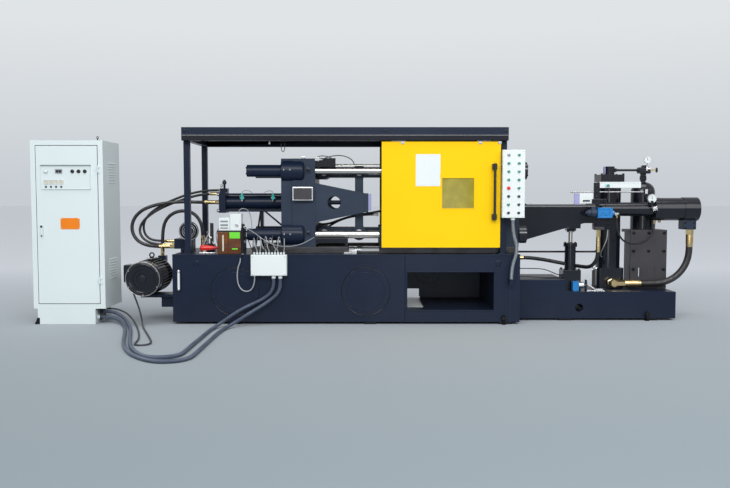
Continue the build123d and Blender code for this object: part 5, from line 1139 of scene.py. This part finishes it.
def towerPieces():
    made("jackChrome", "brightSteel", turned((1986, 0, 754.5), up, "0:20.5 2:21.2 106:21.2 108:20.5"))
    made("jackRing", "machinedSteel", turned((1986, 0, 860), up, "0:30 3:40 13:40 16:34"))
    made("jackBolts", "blackOxide",
         turned(around((1986, 0, 754), 58, 6, 20, (0, 1)), up, "0:7 6:6.8 7:5.5", 16),
         hexHead(((1915, 2057), (-71, 71), 483), up, 10, 12))
    made("bracketBolts", "blackOxide",
         turned([(x, 36, z) for x in (2639.5, 2793, 2946.5) for z in (851.15, 666.08, 481.01)
                 if (x, z) != (2793, 481.01)], front, "0:16.5 2.5:16.5 3:12.5 13:12 14:10 8:6.5", 24))
    made("capPort", "castPaint", slab((3099, -66, 889), (3228.5, 66, 978), 5, 3))
    made("capPortBolts", "blackOxide",
         turned(((3118, 3208), -66, (908, 958)), front, "0:9 7:8.8 8:7 4:5", 20))
    made("shotSeams", "shotPaint",
         turned(((2862, 3098), 0, 1092), right, "0:114.2 1:115.8 7:115.8 8:114.2", 64))
    made("shotBolts", "blackOxide",
         turned(around((2812.5, 0, 1092), 92, 8, 22.5, (1, 2)), left, "0:10 10:9.8 11:8 6:5.5", 20),
         hexHead((1445.5, (-150, 150), (830, 880, 1180, 1225)), right, 13, 14))
    made("headBolts", "blackOxide",
         turned(((2318, 2536), (85, 305), 1443), up, "0:11 10:10.8 11:9 6:6", 20))
    made("jackValve", "valveBlue", sunk(slab((1972, -178, 284), (2034, -110, 378), 4, 3), 8, -3))
    made("jackCoil", "silverSteel",
         turned((2032, -144, 338), right, "0:24 4:33 50:33 56:28 60:16 76:13 78:6"))
    made("jackValveClip", "castPaint", slab((2104, -172, 284), (2116, -116, 392), 3))
    made("drainPipes", "silverSteel", rod((2116, -160, 352), (2150, -160, 330), 8),
         rod((2148, -160, 333), (2196, -165, 300), 8), rod((2192, -165, 300), (2276, -150, 297), 8),
         turned((2186, -165, 300), right, "0:12 2:14 16:14 18:11", 6),
         slab((2108, -196, 284), (2286, -120, 290)))
    made("bleedValve", "silverSteel", turned((2242, 60, 478), up, "0:10 6:16 30:16 32:9 50:9 52:5", 6),
         turned((2242, 58, 500), front, "0:7 24:7 26:14 36:14 38:6", 20),
         turned((2222, 55, 470), (1, 0, 0.4), "0:8 60:8", 16))
    made("bleedTube", "bracketPaint", turned((2246, 62, 284), up, "0:13 190:13 196:10", 24))
    made("longPipes", "shotPaint", rod((1388, 195, 653), (2312, 195, 653), 6),
         rod((1388, 235, 641), (2318, 235, 641), 5), turned((1389, 195, 653), right, "0:13 18:13 20:9", 6),
         turned((2312, 195, 653), left, "0:13 18:13 20:9", 6))


fittingPieces()
valvePieces()
switchPieces()
gasPieces()
towerPieces()
print("injection end dressed")


# bed, drop bay and guard
bed = {"covers": (-1331, -82),
       "lugs": ((1235, -491, -509), (1235, 491, 473), (-1340, 491, 473), (2686, -261, -279)),
       "lugDepth": 36, "posts": (-1784.5, 1229.5), "postY": (-416.5, 416.5)}


def bedPieces():
    made("bayTray", "panelPaint", slab((311, -250, 133), (482, 474, 136), 1))
    made("bayLining", "castPaint", slab((488, 452.5, 150), (1130, 456, 495), 1))
    made("bayCover", "castPaint",
         turned((582, 454.5, 424), front, "0:140 6:140 9:136 9:77 6:72.8 6:4", 56))
    made("coverScrews", "machinePaint",
         turned(around((582, 445.5, 424), 119, 8, 22.5), front, "0:8 5:7.8 6:6", 6),
         *[turned(around((x, -483, 318), 207, 12, 15), front, "0:8.5 5:8 6:6", 6) for x in bed["covers"]])
    made("coverHubs", "machinePaint",
         turned((bed["covers"], -483, 318), front, "0:180 2:178 2:174 0.5:172", 56))
    # near-black rings round the bed covers: painted shade in their seams
    made("coverShadeBeads", "seamShadePaint", hoop((bed["covers"], -476.2, 318), 228.5, 5.5, 96))
    made("bedLedge", "machinePaint", slab((-1926, -478.5, 655), (1389, -474.5, 670.5), 1.5))
    made("baySeams", "castPaint", *[slab((x, -476.2, 24), (x + 3, -474, 654), 0.6) for x in (284, 1296)])
    made("bayLips", "machinePaint", slab((309, -479.5, 500), (1144, -474.5, 509), 1.5),
         slab((309, -479.5, 127), (1144, -474.5, 136), 1.5),
         slab((305, -479.5, 127), (314, -474.5, 509), 1.5),
         slab((1139, -479.5, 127), (1148, -474.5, 509), 1.5))
    feet = [(x, y) for x, y, _ in bed["lugs"]]
    made("levellingFeet", "blackOxide",
         *[slab((x - 24, y, 46), (x + 24, y + bed["lugDepth"], 62), 3) for x, _, y in bed["lugs"]],
         turned([(*foot, 8) for foot in feet], up, "0:8.5 82:8.5 85:7", 20),
         turned([(*foot, 0) for foot in feet], up, "0:22 8:22 12:14", 28),
         turned([(*foot, 62) for foot in feet], up, "0:18 2:20 14:20 16:18", 6))
    made("bedPlugs", "machinePaint",
         *[turned(((-1700, 1180), 475.5 * way[1], 585), way, "0:28 4:27 6:22 2:19")
           for way in (front, back)])


def guardPieces():
    # a proud lip along the rail in the lighter platen paint: a painted highlight line
    made("railHighlightLip", "castPaint", slab((-1812.5, -529.2, 1797.5), (1257.5, -520, 1805), 1.8))
    # the recessed strip below the lip is in the darker shot paint: painted shade of the rail's lower band
    made("railShadeChannel", "shotPaint",
         sunk(slab((-1812, -526.2, 1746), (1257, -524, 1797.5), 0.8), 6, -1, front, everywhere))
    made("postFeet", "machinePaint", *[slab((x - 50, y - 50, 670), (x + 50, y + 50, 680))
                                       for x in bed["posts"] for y in bed["postY"]])
    corners = [(x + dx, y + dy, 680) for x in bed["posts"] for y in bed["postY"]
               for dx in (-39, 39) for dy in (-39, 39)]
    made("guardBolts", "blackOxide", hexHead(corners, up, 7, 8),
         turned(((-1784.5, -850, 100, 1229.5), -525.2, 1836), front, "0:11 6:10.5 7:8", 6))
    made("roofSeams", "castPaint", *[slab((x, -440, 1869.5), (x + 40, 440, 1870), 0) for x in (-800, 220)])
    made("rearPanelScrews", "silverSteel",
         turned(((100, 1156), 505.2, (800, 1100, 1400, 1700)), back, "0:8 4:7.8 5:6", 6))


bedPieces()
guardPieces()
print("bed and guard dressed")
